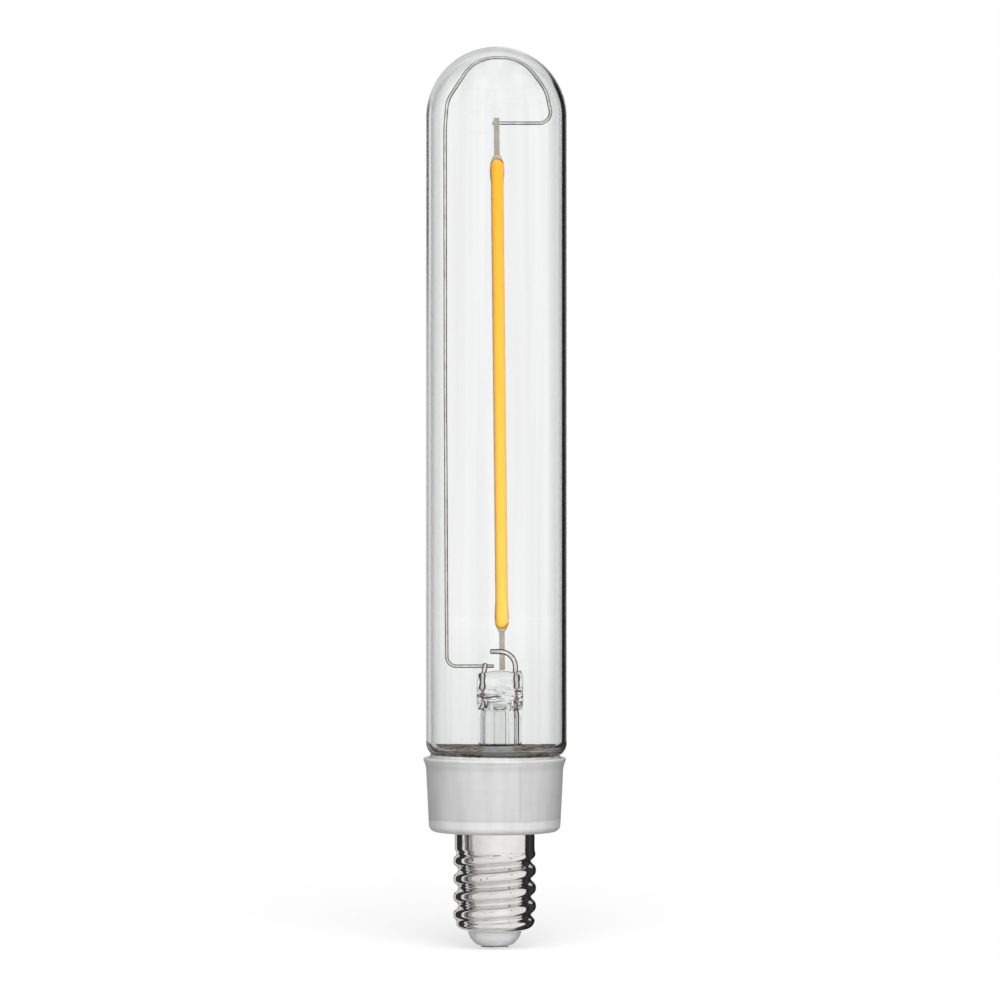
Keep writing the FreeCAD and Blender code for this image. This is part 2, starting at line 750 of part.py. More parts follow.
keep("filament_strip", leaning_box(
    "filament_strip_box", "strip_width", "strip_thickness", "coat_length - 2 * strip_inset",
    "tab_thickness / 2", "strip_inset"))
keep("filament_tab_top", leaning_box(
    "filament_tab_top_box", "tab_width", "tab_thickness",
    "strip_inset + tab_grip + tab_top_free + tab_top_past",
    "-tab_thickness / 2", "coat_length - strip_inset - tab_grip"))
keep("filament_tab_bottom", leaning_box(
    "filament_tab_bottom_box", "tab_width", "tab_thickness",
    "strip_inset + tab_grip + tab_bottom_free + tab_bottom_past",
    "-tab_thickness / 2", "-tab_bottom_free - tab_bottom_past"))
first_chip = value("strip_inset + tab_grip + chip_end_gap")
chip_step = (value("coat_length") - 2 * first_chip - value("chip_length")) / (chip_count - 1)
chips = [leaning_box("led_chip_%02d" % (number + 1), "chip_width", "chip_thickness", "chip_length",
                     "tab_thickness / 2 - chip_thickness", first_chip + number * chip_step)
         for number in range(chip_count)]
chip_row = doc.addObject("Part::Compound", "led_chip_row")
chip_row.Links = chips
keep("led_chips", chip_row)

coat = new_body("filament_coat")
coat_end = [
    ("coat_tip_diameter / 2", "0"),
    ("coat_shoulder_diameter / 2", "coat_shoulder_length"),
    ("coat_bulge_diameter / 2", "coat_bulge_length"),
    ("coat_diameter / 2", "coat_bulge_length + coat_taper"),
]
other_end = [(radius, "coat_length - (%s)" % height) for radius, height in reversed(coat_end)]
turned(coat, "coat_moulding", [(0, 0)] + coat_end + other_end + [(0, "coat_length")])
coat.Placement = leaning
keep("filament_coat", less("filament_coat", coat, [
    nodes["filament_strip"], nodes["filament_tab_top"], nodes["filament_tab_bottom"]] + chips))

# Driver board on the collar's ledge, with a hole for each leg.
leg_radius = "leg_diameter / 2"
board_holes = (
    ("-outer_lead_reach", 0, "outer_lead_diameter / 2"),
    ("outer_lead_reach", 0, "outer_lead_diameter / 2"),
    ("-capacitor_offset - capacitor_leg_gap / 2", 0, leg_radius),
    ("-capacitor_offset + capacitor_leg_gap / 2", 0, leg_radius),
    ("resistor_offset", 0, leg_radius),
    ("shell_wire_offset", "shell_wire_place", "shell_wire_diameter / 2"),
)
blank = doc.addObject("Part::Cylinder", "driver_board_blank")
for prop, formula in (("Radius", "board_radius"), ("Height", "board_thickness"),
                      ("Placement.Base.z", "ledge_level")):
    bind(blank, prop, formula)
drills = [pin("board_hole_%d" % (number + 1), radius + " + hole_fit", "board_thickness",
              x, y, "ledge_level") for number, (x, y, radius) in enumerate(board_holes)]
keep("driver_board", less("driver_board", blank, drills))


def surface_part(name, length, width, height, x, y, feet):
    """A moulded body on the board's top with flat feet at its two long sides."""
    things = [box(name + "_case", length, width, height, x, y, "board_top")]
    for number, (along, side) in enumerate(feet):
        things.append(box(
            "%s_foot_%d" % (name, number + 1), "chip_foot_width", "chip_foot_reach",
            "chip_foot_thickness", "(%s) + (%s)" % (x, along),
            "(%s) + %d * ((%s) + chip_foot_reach) / 2" % (y, side, width), "board_top"))
    return keep(name, fused(name, things))


surface_part("bridge_rectifier", "rectifier_length", "rectifier_width", "rectifier_height",
             0, "rectifier_offset",
             [(along, side) for side in (-1, 1)
              for along in ("rectifier_length / 4", "-rectifier_length / 4")])
surface_part("driver_chip", "chip_body_length", "chip_body_width", "chip_body_height",
             0, "-chip_body_offset",
             [("-chip_body_length / 3", -1), ("0", -1), ("chip_body_length / 3", -1)])

# Smoothing capacitor: sleeved can, hung under the board by its legs.
can = new_body("smoothing_capacitor", "-capacitor_offset", 0, "ledge_level - capacitor_length")
turned(can, "capacitor_can", [
    (0, 0),
    ("capacitor_diameter / 2 - capacitor_round", 0),
    ("capacitor_diameter / 2", "capacitor_round"),
    ("capacitor_diameter / 2", "capacitor_length - capacitor_round"),
    ("capacitor_diameter / 2 - capacitor_round", "capacitor_length"),
    (0, "capacitor_length"),
])
legs = [pin("capacitor_leg_%d" % number, leg_radius, "board_thickness + leg_stand",
            "-capacitor_offset + (%d) * capacitor_leg_gap / 2" % side, 0, "ledge_level")
        for number, side in ((1, -1), (2, 1))]
keep("smoothing_capacitor", fused("smoothing_capacitor", [can] + legs))

# Fusible resistor: from the board down to the centre contact's shank.
resistor = new_body("fusible_resistor", "resistor_offset", 0, "resistor_foot")
turned(resistor, "resistor_dip", [
    (0, 0),
    ("resistor_diameter / 2 - resistor_round", 0),
    ("resistor_diameter / 2", "resistor_round"),
    ("resistor_diameter / 2", "resistor_length - resistor_round"),
    ("resistor_diameter / 2 - resistor_round", "resistor_length"),
    (0, "resistor_length"),
])
upper_leg = pin("resistor_upper_leg", leg_radius,
                "board_top + leg_stand - resistor_foot - resistor_length",
                "resistor_offset", 0, "resistor_foot + resistor_length")
resistor_foot = value("resistor_foot")
lower_leg = shaped("resistor_lower_leg", bent_wire([
    (value("resistor_offset"), 0, resistor_foot),
    (value("resistor_offset"), 0, resistor_foot - value("resistor_lead_drop"),
     value("resistor_lead_bend")),
    (0, 0, resistor_foot - value("resistor_lead_drop + resistor_lead_bend"),
     value("resistor_lead_bend")),
    (0, 0, value("shank_top - shank_hole_depth")),
], value("leg_diameter")))
keep("fusible_resistor", fused("fusible_resistor", [resistor, upper_leg, lower_leg]))

# Shell wire: from the board through the neck, then out to the shell's wall.
wire_level = value("shell_top - neck_length - shell_wire_drop")
ring_radius, ring_centre = shell_ring(wire_level)
flat_radius = (ring_radius - value("shell_wall")) * math.cos(math.pi / cap_sides)
wire_x = value("shell_wire_offset")
wire_y = value("shell_wire_place")
outward = Vector(wire_x, wire_y, 0).normalize()
along = ring_centre.x * outward.x + ring_centre.y * outward.y
aside = ring_centre.x * outward.y - ring_centre.y * outward.x
wall_reach = along + math.sqrt(flat_radius ** 2 - aside ** 2) - value("shell_wire_gap")
keep("shell_wire", shaped("shell_wire", bent_wire([
    (wire_x, wire_y, value("board_top + leg_stand")),
    (wire_x, wire_y, wire_level, value("shell_wire_bend")),
    (outward.x * wall_reach, outward.y * wall_reach, wire_level),
], value("shell_wire_diameter"))))

# Solder: a cone round each leg, on the side of the board where the leg stands out.
cones = []
for number, (x, y, radius) in enumerate(board_holes):
    inner = value(radius)
    below = number < 2
    level = value("ledge_level") if below else value("board_top")
    heading = Vector(0, 0, -1 if below else 1)
    place = Vector(value(x), value(y), level)
    tip = place + heading * value("solder_height")
    rings = [wire_ring(inner + value("solder_spread"), place, heading),
             wire_ring(inner + value("hole_fit"), tip, heading)]
    leg = Part.Face(wire_ring(inner, place, heading)).extrude(tip - place)
    cones.append(Part.makeLoft(rings, True, True).cut(leg))
keep("solder_joints", shaped("solder_joints", Part.makeCompound(cones)))

doc.recompute()
for thing in doc.Objects:
    if "Invalid" in thing.State or "Error" in thing.State:
        raise RuntimeError(thing.Name + " failed to build")
os.makedirs("parts", exist_ok=True)
for name, thing in nodes.items():
    solids = [plain_solid(solid) for solid in thing.Shape.Solids]
    shape = solids[0] if len(solids) == 1 else Part.Compound(solids)
    if shape.isNull() or not shape.isValid() or abs(shape.Volume - thing.Shape.Volume) > 0.01:
        raise RuntimeError(name + " has no valid shape")
    shape.exportStep("parts/%s.step" % name)
    print("%-22s %2d solids %9.2f mm3" % (name, len(solids), shape.Volume))
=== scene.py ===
import math
import bpy
import numpy as np
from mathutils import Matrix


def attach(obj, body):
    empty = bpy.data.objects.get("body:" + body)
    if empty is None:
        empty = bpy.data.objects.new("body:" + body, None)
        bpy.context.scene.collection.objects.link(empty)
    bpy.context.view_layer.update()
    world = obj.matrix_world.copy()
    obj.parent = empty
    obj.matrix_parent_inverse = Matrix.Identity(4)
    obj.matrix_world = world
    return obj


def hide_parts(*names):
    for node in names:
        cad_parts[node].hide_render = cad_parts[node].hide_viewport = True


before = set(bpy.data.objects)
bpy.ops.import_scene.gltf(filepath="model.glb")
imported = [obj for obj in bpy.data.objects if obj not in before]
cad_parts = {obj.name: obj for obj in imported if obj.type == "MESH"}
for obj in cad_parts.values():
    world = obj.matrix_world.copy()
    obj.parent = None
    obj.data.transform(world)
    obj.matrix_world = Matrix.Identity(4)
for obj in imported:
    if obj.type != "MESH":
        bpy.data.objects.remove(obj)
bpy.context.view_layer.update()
print("frame loaded")

mm = 0.001  # sizes and places below are in millimetres


# Points of an arc round (x, z), from one angle to another in degrees.
def arc(x, z, radius, first, last, count):
    turn = np.radians(np.linspace(first, last, count))
    return np.column_stack([x + radius * np.cos(turn), z + radius * np.sin(turn)])


# Angles of the columns round an upright axis.
def roundAngles(sides):
    return np.linspace(0, 2 * np.pi, sides, endpoint=False)


# Sets columns side by side, where a single number fills its whole column.
def sideBySide(*columns):
    return np.column_stack(np.broadcast_arrays(*columns))


# Goes from 0 to 1 with a level start and finish: 3 s^2 - 2 s^3.
def smoothStep(share):
    share = np.clip(share, 0, 1)
    return share * share * (3 - 2 * share)


# A line through the given points, softened by a running mean of the given width.
def softLine(places, points, width, samples=15):
    known = np.asarray(points, float)
    shifts = np.linspace(-width / 2, width / 2, samples)
    return np.interp(places[:, None] + shifts, known[:, 0], known[:, 1]).mean(1)


# Rows of points become a closed skin. The columns run round, and the first and last
# rows are poles (single points), or join up when looped. Edges over sharp degrees stay.
def skin(name, rows, looped=False, sharp=35):
    rowCount, columns = rows.shape[:2]
    index = np.arange(rowCount * columns).reshape(rowCount, columns)
    if not looped:
        index[0] = 0
        index[-1] = index[-1, 0]
    below, above = (index, np.roll(index, -1, 0)) if looped else (index[:-1], index[1:])
    quads = np.stack([below, np.roll(below, -1, 1), np.roll(above, -1, 1), above], -1)
    used, renumbered = np.unique(quads.reshape(-1, 4), return_inverse=True)
    points, quads = (rows.reshape(-1, 3) * mm)[used], renumbered.reshape(-1, 4)
    first, second, third, fourth = (points[quads[:, place]] for place in range(4))
    volume = (np.einsum("ij,ij->", first, np.cross(second, third))
              + np.einsum("ij,ij->", first, np.cross(third, fourth)))
    if volume < 0:  # the faces point inwards
        quads = quads[:, ::-1]
    faces = [tuple(dict.fromkeys(quad)) for quad in quads.tolist()]
    mesh = bpy.data.meshes.new(name)
    mesh.from_pydata(points.tolist(), [], faces)
    mesh.polygons.foreach_set("use_smooth", np.ones(len(faces), bool))
    mesh.set_sharp_from_angle(angle=math.radians(sharp))
    piece = bpy.data.objects.new(name, mesh)
    bpy.context.collection.objects.link(piece)
    return piece


# Profile points (radius, z) turned round an upright axis, whose x may differ by point.
def turned(profile, centreX, sides):
    profile = np.asarray(profile, float)
    around = roundAngles(sides)
    radius, height = profile[:, :1], profile[:, 1:2]
    centre = np.broadcast_to(np.reshape(centreX, (-1, 1)), radius.shape)
    return np.stack([centre + radius * np.cos(around), radius * np.sin(around),
                     height + 0 * around], -1)


# A path in an upright plane: straight runs joined by arcs. A corner is (x, z, bend). An
# arc has a point for each step of its length and each turnStep of its angle in radians.
def bentPath(corners, step=0.25, turnStep=0.12):
    corners = [np.array([*corner, 0.0][:3]) for corner in corners]
    parts = [corners[0][None, :2]]
    for before, here, after in zip(corners, corners[1:], corners[2:]):
        back = (before - here)[:2] / np.linalg.norm((before - here)[:2])
        onward = (after - here)[:2] / np.linalg.norm((after - here)[:2])
        half = np.arccos(np.clip(back @ onward, -1, 1)) / 2
        reach = here[2] / np.tan(half)
        inward = (back + onward) / np.linalg.norm(back + onward)
        centre = here[:2] + inward * here[2] / np.sin(half)
        start, end = here[:2] + back * reach - centre, here[:2] + onward * reach - centre
        sweep = np.pi - 2 * half
        count = max(4, int(here[2] * sweep / step), int(sweep / turnStep))
        share = np.linspace(0, 1, count)[:, None]
        parts.append(centre + (np.sin((1 - share) * sweep) * start + np.sin(share * sweep) * end)
                     / np.sin(sweep))
    parts.append(corners[-1][None, :2])
    return np.concatenate(parts)


# Round wire carried along a path: each ring stands square to the path's own direction.
# The ends are rounded off by the share tip of the radius.
def wireRows(path, planeY, radius, sides=20, tip=0.35):
    heading = np.gradient(path, axis=0)
    heading /= np.linalg.norm(heading, axis=1)[:, None]
    tips = np.array([0, 1 - tip, 1]) * radius
    inset = np.array([0, 0, tip]) * radius
    places = np.concatenate([path[0] + heading[0] * inset[:, None], path[1:-1],
                             path[-1] - heading[-1] * inset[::-1, None]])
    ways = np.concatenate([heading[:1].repeat(3, 0), heading[1:-1], heading[-1:].repeat(3, 0)])
    radii = np.concatenate([tips, np.full(len(path) - 2, radius), tips[::-1]])
    around = roundAngles(sides)
    side = np.column_stack([-ways[:, 1], ways[:, 0]])
    x = places[:, :1] + radii[:, None] * side[:, :1] * np.cos(around)
    z = places[:, 1:] + radii[:, None] * side[:, 1:] * np.cos(around)
    y = planeY + radii[:, None] * np.sin(around)
    return np.stack([x, y, z], -1)


# Gives a piece its material, hangs it on the root body and hides the nodes it stands for.
def dress(piece, material, slot, *nodes):
    piece.data.materials.append(material)
    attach(piece, "root")
    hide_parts(*nodes)


# The faces that the given function picks, by their middles, wear one more material.
def wear(piece, material, pick):
    mesh = piece.data
    mesh.materials.append(material)
    middles, slots = np.empty(3 * len(mesh.polygons)), np.empty(len(mesh.polygons), np.int32)
    mesh.polygons.foreach_get("center", middles)
    mesh.polygons.foreach_get("material_index", slots)
    slots[pick(middles.reshape(-1, 3) / mm)] = len(mesh.materials) - 1
    mesh.polygons.foreach_set("material_index", slots)


# A new material with its node tree and its shader.
def startMaterial(name):
    material = bpy.data.materials.new(name)
    material.use_nodes = True
    tree = material.node_tree
    return material, tree, tree.nodes["Principled BSDF"]


# A node with its settings and its inputs, each a number or another node's output.
def addNode(tree, kind, inputs=None, **settings):
    node = tree.nodes.new(kind)
    for word, setting in settings.items():
        setattr(node, word, setting)
    setInputs(tree, node, inputs or {})
    return node


def setInputs(tree, node, inputs):
    for word, given in inputs.items():
        if isinstance(given, bpy.types.NodeSocket):
            tree.links.new(given, node.inputs[word])
        else:
            node.inputs[word].default_value = given


def calculate(tree, operation, *given):
    return addNode(tree, "ShaderNodeMath", dict(enumerate(given)), operation=operation).outputs[0]


def product(tree, total, *factors):
    for factor in factors:
        total = calculate(tree, "MULTIPLY", total, factor)
    return total


# How far a value lies from a middle, to either side.
def apart(tree, value, middle):
    return calculate(tree, "ABSOLUTE", calculate(tree, "SUBTRACT", value, middle))


# Where a point lies on the object, in metres.
def objectPlace(tree):
    place = addNode(tree, "ShaderNodeTexCoord").outputs["Object"]
    return addNode(tree, "ShaderNodeSeparateXYZ", {"Vector": place}).outputs


# Noise on Object coordinates. scale is in patches per millimetre along each axis.
def noise(tree, scale, detail=2.0, roughness=0.5):
    place = addNode(tree, "ShaderNodeTexCoord").outputs["Object"]
    perMetre = [part / mm for part in (scale if isinstance(scale, tuple) else (scale,) * 3)]
    mapped = addNode(tree, "ShaderNodeMapping", {"Vector": place, "Scale": perMetre}).outputs[0]
    return addNode(tree, "ShaderNodeTexNoise", {"Vector": mapped, "Scale": 1.0, "Detail": detail,
                                                "Roughness": roughness}).outputs[0]


# A value from first to last, spread over low to high and held there.
def spread(tree, value, first, last, low=0.0, high=1.0):
    return addNode(tree, "ShaderNodeMapRange", {
        "Value": value, "From Min": first, "From Max": last, "To Min": low,
        "To Max": high}).outputs[0]


# Noise spread over low to high.
def drift(tree, scale, detail, low, high):
    return spread(tree, noise(tree, scale, detail), 0, 1, low, high)


# A colour for each factor. A stop is a place from 0 to 1 and a linear colour.
def ramp(tree, factor, stops):
    node = addNode(tree, "ShaderNodeValToRGB", {"Fac": factor})
    points = node.color_ramp.elements
    while len(points) < len(stops):
        points.new(0.5)
    for point, (place, shade) in zip(points, stops):
        point.position = place
        point.color = (*shade, 1)
    return node.outputs["Color"]


# A colour that drifts between dark and light with the noise.
def clouded(tree, scale, detail, dark, light):
    return ramp(tree, noise(tree, scale, detail), [(0.3, dark), (0.7, light)])


def mixColours(tree, factor, first, second, blend="MIX"):
    node = addNode(tree, "ShaderNodeMix", data_type="RGBA", blend_type=blend)
    setInputs(tree, node, {"Factor": factor})
    tree.links.new(first, node.inputs[6])
    tree.links.new(second, node.inputs[7])
    return node.outputs[2]


# A colour darkened by each layer in turn.
def layered(tree, shade, *layers):
    for layer in layers:
        shade = mixColours(tree, 1.0, shade, layer, "MULTIPLY")
    return shade


def bump(tree, shader, height, strength, depth):
    node = addNode(tree, "ShaderNodeBump", {"Height": height, "Strength": strength,
                                            "Distance": depth * mm})
    tree.links.new(node.outputs[0], shader.inputs["Normal"])


# sRGB values 0 to 255 as a linear colour.
def colour(red, green, blue):
    share = np.array([red, green, blue]) / 255
    linear = np.where(share > 0.04045, ((share + 0.055) / 1.055) ** 2.4, share / 12.92)
    return tuple(linear.tolist())


def grey(level):
    return colour(level, level, level)


# Ramp stops whose colours are given as sRGB values.
def tones(stops):
    return [(place, colour(*shade)) for place, shade in stops]


# A finish whose colour and roughness drift a little over the surface. relief is a patch
# size with the strength and depth of its bumps.
def plainFinish(name, dark, light, patch, inputs, roughness=(0.3, 0.4), relief=None):
    material, tree, shader = startMaterial(name)
    cloud = noise(tree, patch, 3)
    setInputs(tree, shader, {"Base Color": ramp(tree, cloud, [(0.3, dark), (0.7, light)]),
                             "Roughness": spread(tree, cloud, 0, 1, *roughness), **inputs})
    if relief:
        bump(tree, shader, noise(tree, relief[0], 2), relief[1], relief[2])
    return material


# Mottled brown, olive and grey cement, with painted light: a pale skin along the rim that stands
# for light there.
cement = {"patch": 0.85, "detail": 5, "roughness": 0.62, "skin": (26.95, 27.15),
          "tones": ((0.32, (60, 48, 32)), (0.42, (112, 98, 66)), (0.5, (158, 148, 120)),
                    (0.58, (206, 200, 188)), (0.7, (236, 234, 228)))}


def cementColour(tree, look):
    mottle = noise(tree, look["patch"], look["detail"], look["roughness"])
    return ramp(tree, mottle, tones(look["tones"]))


def cementFinish(look):
    material, tree, shader = startMaterial("beddingCement")
    # Painted light: above the skin heights the cement turns pale.
    rim = clouded(tree, 0.6, 3, grey(190), grey(222))
    above = spread(tree, objectPlace(tree)["Z"], look["skin"][0] * mm, look["skin"][1] * mm)
    setInputs(tree, shader, {"Base Color": mixColours(tree, above, cementColour(tree, look), rim),
                             "Roughness": 0.85})
    bump(tree, shader, noise(tree, 1.6, 4), 0.6, 0.15)
    return material


# Cement that clings to the underside of the glass foot and shows through its floor. It has a ragged
# pale patch in the middle, painted light under the stem's thick flare.
bed = {"inner": 2.7, "outer": 8.9, "top": 28.2, "middle": 0.65, "pale": 2.1, "blur": 0.3,
       "ragged": 0.5, "paintedLightShare": 0.85}


def bedFinish(size):
    material, tree, shader = startMaterial("bedCement")
    ragged = drift(tree, 0.7, 3, -size["ragged"] * mm, size["ragged"] * mm)
    fromMiddle = apart(tree, objectPlace(tree)["X"], size["middle"] * mm)
    # Painted light: the pale patch in the middle stands for light from the stem's thick flare.
    pale = spread(tree, calculate(tree, "ADD", fromMiddle, ragged),
                  (size["pale"] + size["blur"]) * mm, (size["pale"] - size["blur"]) * mm,
                  0.0, size["paintedLightShare"])
    light = clouded(tree, 1.3, 3, grey(196), grey(240))
    shade = mixColours(tree, pale, cementColour(tree, cement), light)
    setInputs(tree, shader, {"Base Color": shade, "Roughness": 0.7, "Specular IOR Level": 0.2})
    return material


# Picks the faces, by their middles in millimetres, that lie on the bed.
def onBed(middles):
    radius = np.hypot(middles[:, 0], middles[:, 1])
    return (radius > bed["inner"]) & (radius < bed["outer"]) & (middles[:, 2] < bed["top"])


# Clear glass with a faint tint that changes in streaks along the tube, and slight waves.
# bending is how much it bends light, and mirror how strongly it mirrors.
def clearGlass(name, look):
    material, tree, shader = startMaterial(name)
    tint = clouded(tree, look["streak"], 2, look["dark"], look["light"])
    setInputs(tree, shader, {"Base Color": tint, "Roughness": 0.0, "IOR": look["bending"],
                             "Transmission Weight": 1.0,
                             "Specular Tint": (*[look["mirror"]] * 3, 1)})
    bump(tree, shader, noise(tree, look["waves"], 1), *look["relief"])
    return material


# Glass envelope, pole to pole: down the outside of the dome and tube, round the foot,
# then back up inside.
envelope = {"axis": 0.25, "foot": 27.1, "top": 128.0, "radius": 10.0, "bore": 9.35,
            "crownWall": 0.65, "footCorner": 2.1, "footWall": 0.95, "opening": 6.99,
            "openingShift": 0.5, "sides": 192, "domeRows": 48, "tubeRows": 40,
            "cornerRows": (16, 14)}
envelopeLook = {"dark": (0.9, 0.91, 0.912), "light": (0.985, 0.988, 0.988),
                "streak": (0.5, 0.5, 0.012), "waves": (0.22, 0.22, 0.02), "relief": (0.25, 0.02),
                "bending": 1.5, "mirror": 0.35}


def envelopeRows(size):
    domeZ = size["top"] - size["radius"]
    innerDomeZ = size["top"] - size["crownWall"] - size["bore"]
    wall = size["radius"] - size["bore"]
    cornerX = size["radius"] - size["footCorner"]
    cornerZ = size["foot"] + size["footCorner"]
    innerCornerZ = cornerZ + size["footWall"] - wall
    outerRows, innerRows = size["cornerRows"]
    profile = np.concatenate([
        arc(0, domeZ, size["radius"], 90, 0, size["domeRows"]),
        sideBySide(size["radius"], np.linspace(domeZ, cornerZ, size["tubeRows"])[1:-1]),
        arc(cornerX, cornerZ, size["footCorner"], 0, -90, outerRows),
        [(size["opening"], size["foot"]), (size["opening"], size["foot"] + size["footWall"])],
        arc(cornerX, innerCornerZ, size["footCorner"] - wall, -90, 0, innerRows),
        sideBySide(size["bore"], np.linspace(innerCornerZ, innerDomeZ, size["tubeRows"])[1:-1]),
        arc(0, innerDomeZ, size["bore"], 0, 90, size["domeRows"])])
    axis = size["axis"] + size["openingShift"] * (profile[:, 0] == size["opening"])
    return turned(profile, axis, size["sides"])


bedCement = bedFinish(bed)
envelopePiece = skin("glassEnvelope", envelopeRows(envelope))
dress(envelopePiece, clearGlass("clearGlass", envelopeLook), "clear_glass", "glass_envelope")
wear(envelopePiece, bedCement, onBed)
print("envelope made")

# Glass stem, pole to pole: from the crown down the flattened press, the tube and the
# flare, then up the bore, whose top bulges down. The pinch marks are two wavy ridges
# across the press (height, rise, width), and the crown rises between the leads and in a
# lobe at the right edge.
stem = {"axis": 0.75, "foot": 27.1, "tube": 3.05, "tubeTop": 32.8, "pressFoot": 35.2,
        "pressTop": 39.2, "halfWidth": 3.3, "halfDepth": 1.6, "squareness": 3.2,
        "crownRound": 0.75, "flare": 1.2, "rim": 6.98, "rimWall": 0.95, "bore": 2.55,
        "boreTop": 33.4, "boreRise": 1.8, "mouth": 1.0, "sides": 160, "crownRows": 9,
        "pressRows": 40, "shoulderRows": 24, "tubeRows": 16, "flareRows": 14, "mouthRows": 10,
        "ridges": ((36.8, 0.14, 0.14), (35.8, 0.24, 0.2)),
        "waves": ((0.16, 1.9, 0.6), (0.07, 4.3, 0.0)), "crownRise": 0.25, "crownReach": 2.0,
        "lobe": (2.9, 0.4, 0.35), "unevenness": 0.05, "evenBelow": 1.0, "evenFade": 2.5}


# Each row of the table is a height, half width, half depth and squareness. The second
# result is the number of rows on the outside.
def stemTable(size):
    square = size["squareness"]
    turn = np.radians(np.linspace(90, 0, size["crownRows"]))
    rounding = size["crownRound"] * (1 - np.cos(turn))
    crown = sideBySide(size["pressTop"] - size["crownRound"] * (1 - np.sin(turn)),
                       size["halfWidth"] - rounding, size["halfDepth"] - rounding, square)
    share = np.linspace(0, 1, size["crownRows"])[:-1]
    top = sideBySide(crown[0, 0], share * crown[0, 1], share * crown[0, 2], square)
    pressZ = np.linspace(size["pressTop"] - size["crownRound"], size["pressFoot"],
                         size["pressRows"])[1:]
    press = sideBySide(pressZ, size["halfWidth"], size["halfDepth"], square)
    shoulderZ = np.linspace(size["pressFoot"], size["tubeTop"], size["shoulderRows"])[1:]
    ease = smoothStep((size["pressFoot"] - shoulderZ) / (size["pressFoot"] - size["tubeTop"]))
    shoulder = sideBySide(shoulderZ, size["halfWidth"] + (size["tube"] - size["halfWidth"]) * ease,
                          size["halfDepth"] + (size["tube"] - size["halfDepth"]) * ease,
                          square + (2 - square) * ease)
    flareZ = size["foot"] + size["rimWall"] + size["flare"]
    mouthZ = size["foot"] + size["mouth"]
    boreEnd = size["boreTop"] + size["boreRise"]
    bulge = np.linspace(1, 0, size["tubeRows"])[1:]
    outer = np.concatenate([
        sideBySide(size["tube"], np.linspace(size["tubeTop"], flareZ, size["tubeRows"])[1:-1]),
        arc(size["tube"] + size["flare"], flareZ, size["flare"], 180, 270, size["flareRows"])])
    inner = np.concatenate([
        [(size["rim"], size["foot"] + size["rimWall"]), (size["rim"], size["foot"])],
        arc(size["bore"] + size["mouth"], mouthZ, size["mouth"], 270, 180, size["mouthRows"]),
        sideBySide(size["bore"], np.linspace(mouthZ, boreEnd, size["tubeRows"])[1:]),
        sideBySide(size["bore"] * bulge, size["boreTop"] + size["boreRise"] * bulge ** 2)])
    radius, height = np.concatenate([outer, inner]).T
    table = np.concatenate([top, crown, press, shoulder, sideBySide(height, radius, radius, 2.0)])
    return table, len(table) - len(inner)


# Half width times cos^(2/q), half depth times sin^(2/q), q the squareness, then the
# ridges, the raised crown and some unevenness on the outside only.
def stemRows(size):
    table, outside = stemTable(size)
    around = roundAngles(size["sides"])
    power = 2 / table[:, 3:4]
    x = table[:, 1:2] * np.sign(np.cos(around)) * np.abs(np.cos(around)) ** power
    y = table[:, 2:3] * np.sign(np.sin(around)) * np.abs(np.sin(around)) ** power
    z = table[:, :1] + 0 * around
    swell = 0 * z
    for height, rise, width in size["ridges"]:
        wavy = z - height
        for depth, pace, start in size["waves"]:
            wavy = wavy - depth * np.sin(pace * x + start)
        swell = swell + rise * np.exp(-(wavy / width) ** 2)
    uneven = (np.sin(3 * around + 1.7 * z) * np.sin(2.9 * z + 2 * around)
              + np.sin(7 * around - 2.1 * z) / 2)
    high = smoothStep((z - size["tubeTop"] + size["evenBelow"]) / size["evenFade"])
    swell = (swell + size["unevenness"] * uneven) * high
    outer = (np.arange(len(table)) < outside)[:, None]
    y = y * np.where(outer, 1 + swell / size["halfDepth"], 1)
    crest = smoothStep((z - size["pressTop"] + size["crownRound"]) / size["crownRound"])
    lobeX, lobeRise, lobeWidth = size["lobe"]
    lift = size["crownRise"] * np.clip(1 - (x / size["crownReach"]) ** 2, 0, 1)
    lift = lift + lobeRise * np.exp(-((x - lobeX) / lobeWidth) ** 2)
    return np.stack([size["axis"] + x, y, z + lift * crest], -1)


# Clear glass of the press, with painted shade in dark lines where it was pinched: one wavy line
# that ends right of the middle, and broken marks above and below it, stronger at the edges.
# Each pair is where something begins and where it is whole. low and high are heights
# over the line, and outer is a distance from the stem's axis.
creases = {"z": 35.75, "wave": (0.13, 2.3, 0.9), "line": (0.18, 0.08), "right": (1.15, 0.65),
           "marks": (0.42, 0.36), "low": (-1.6, -1.2), "high": (1.4, 1.0), "outer": (1.6, 2.6),
           "weakest": 0.4}


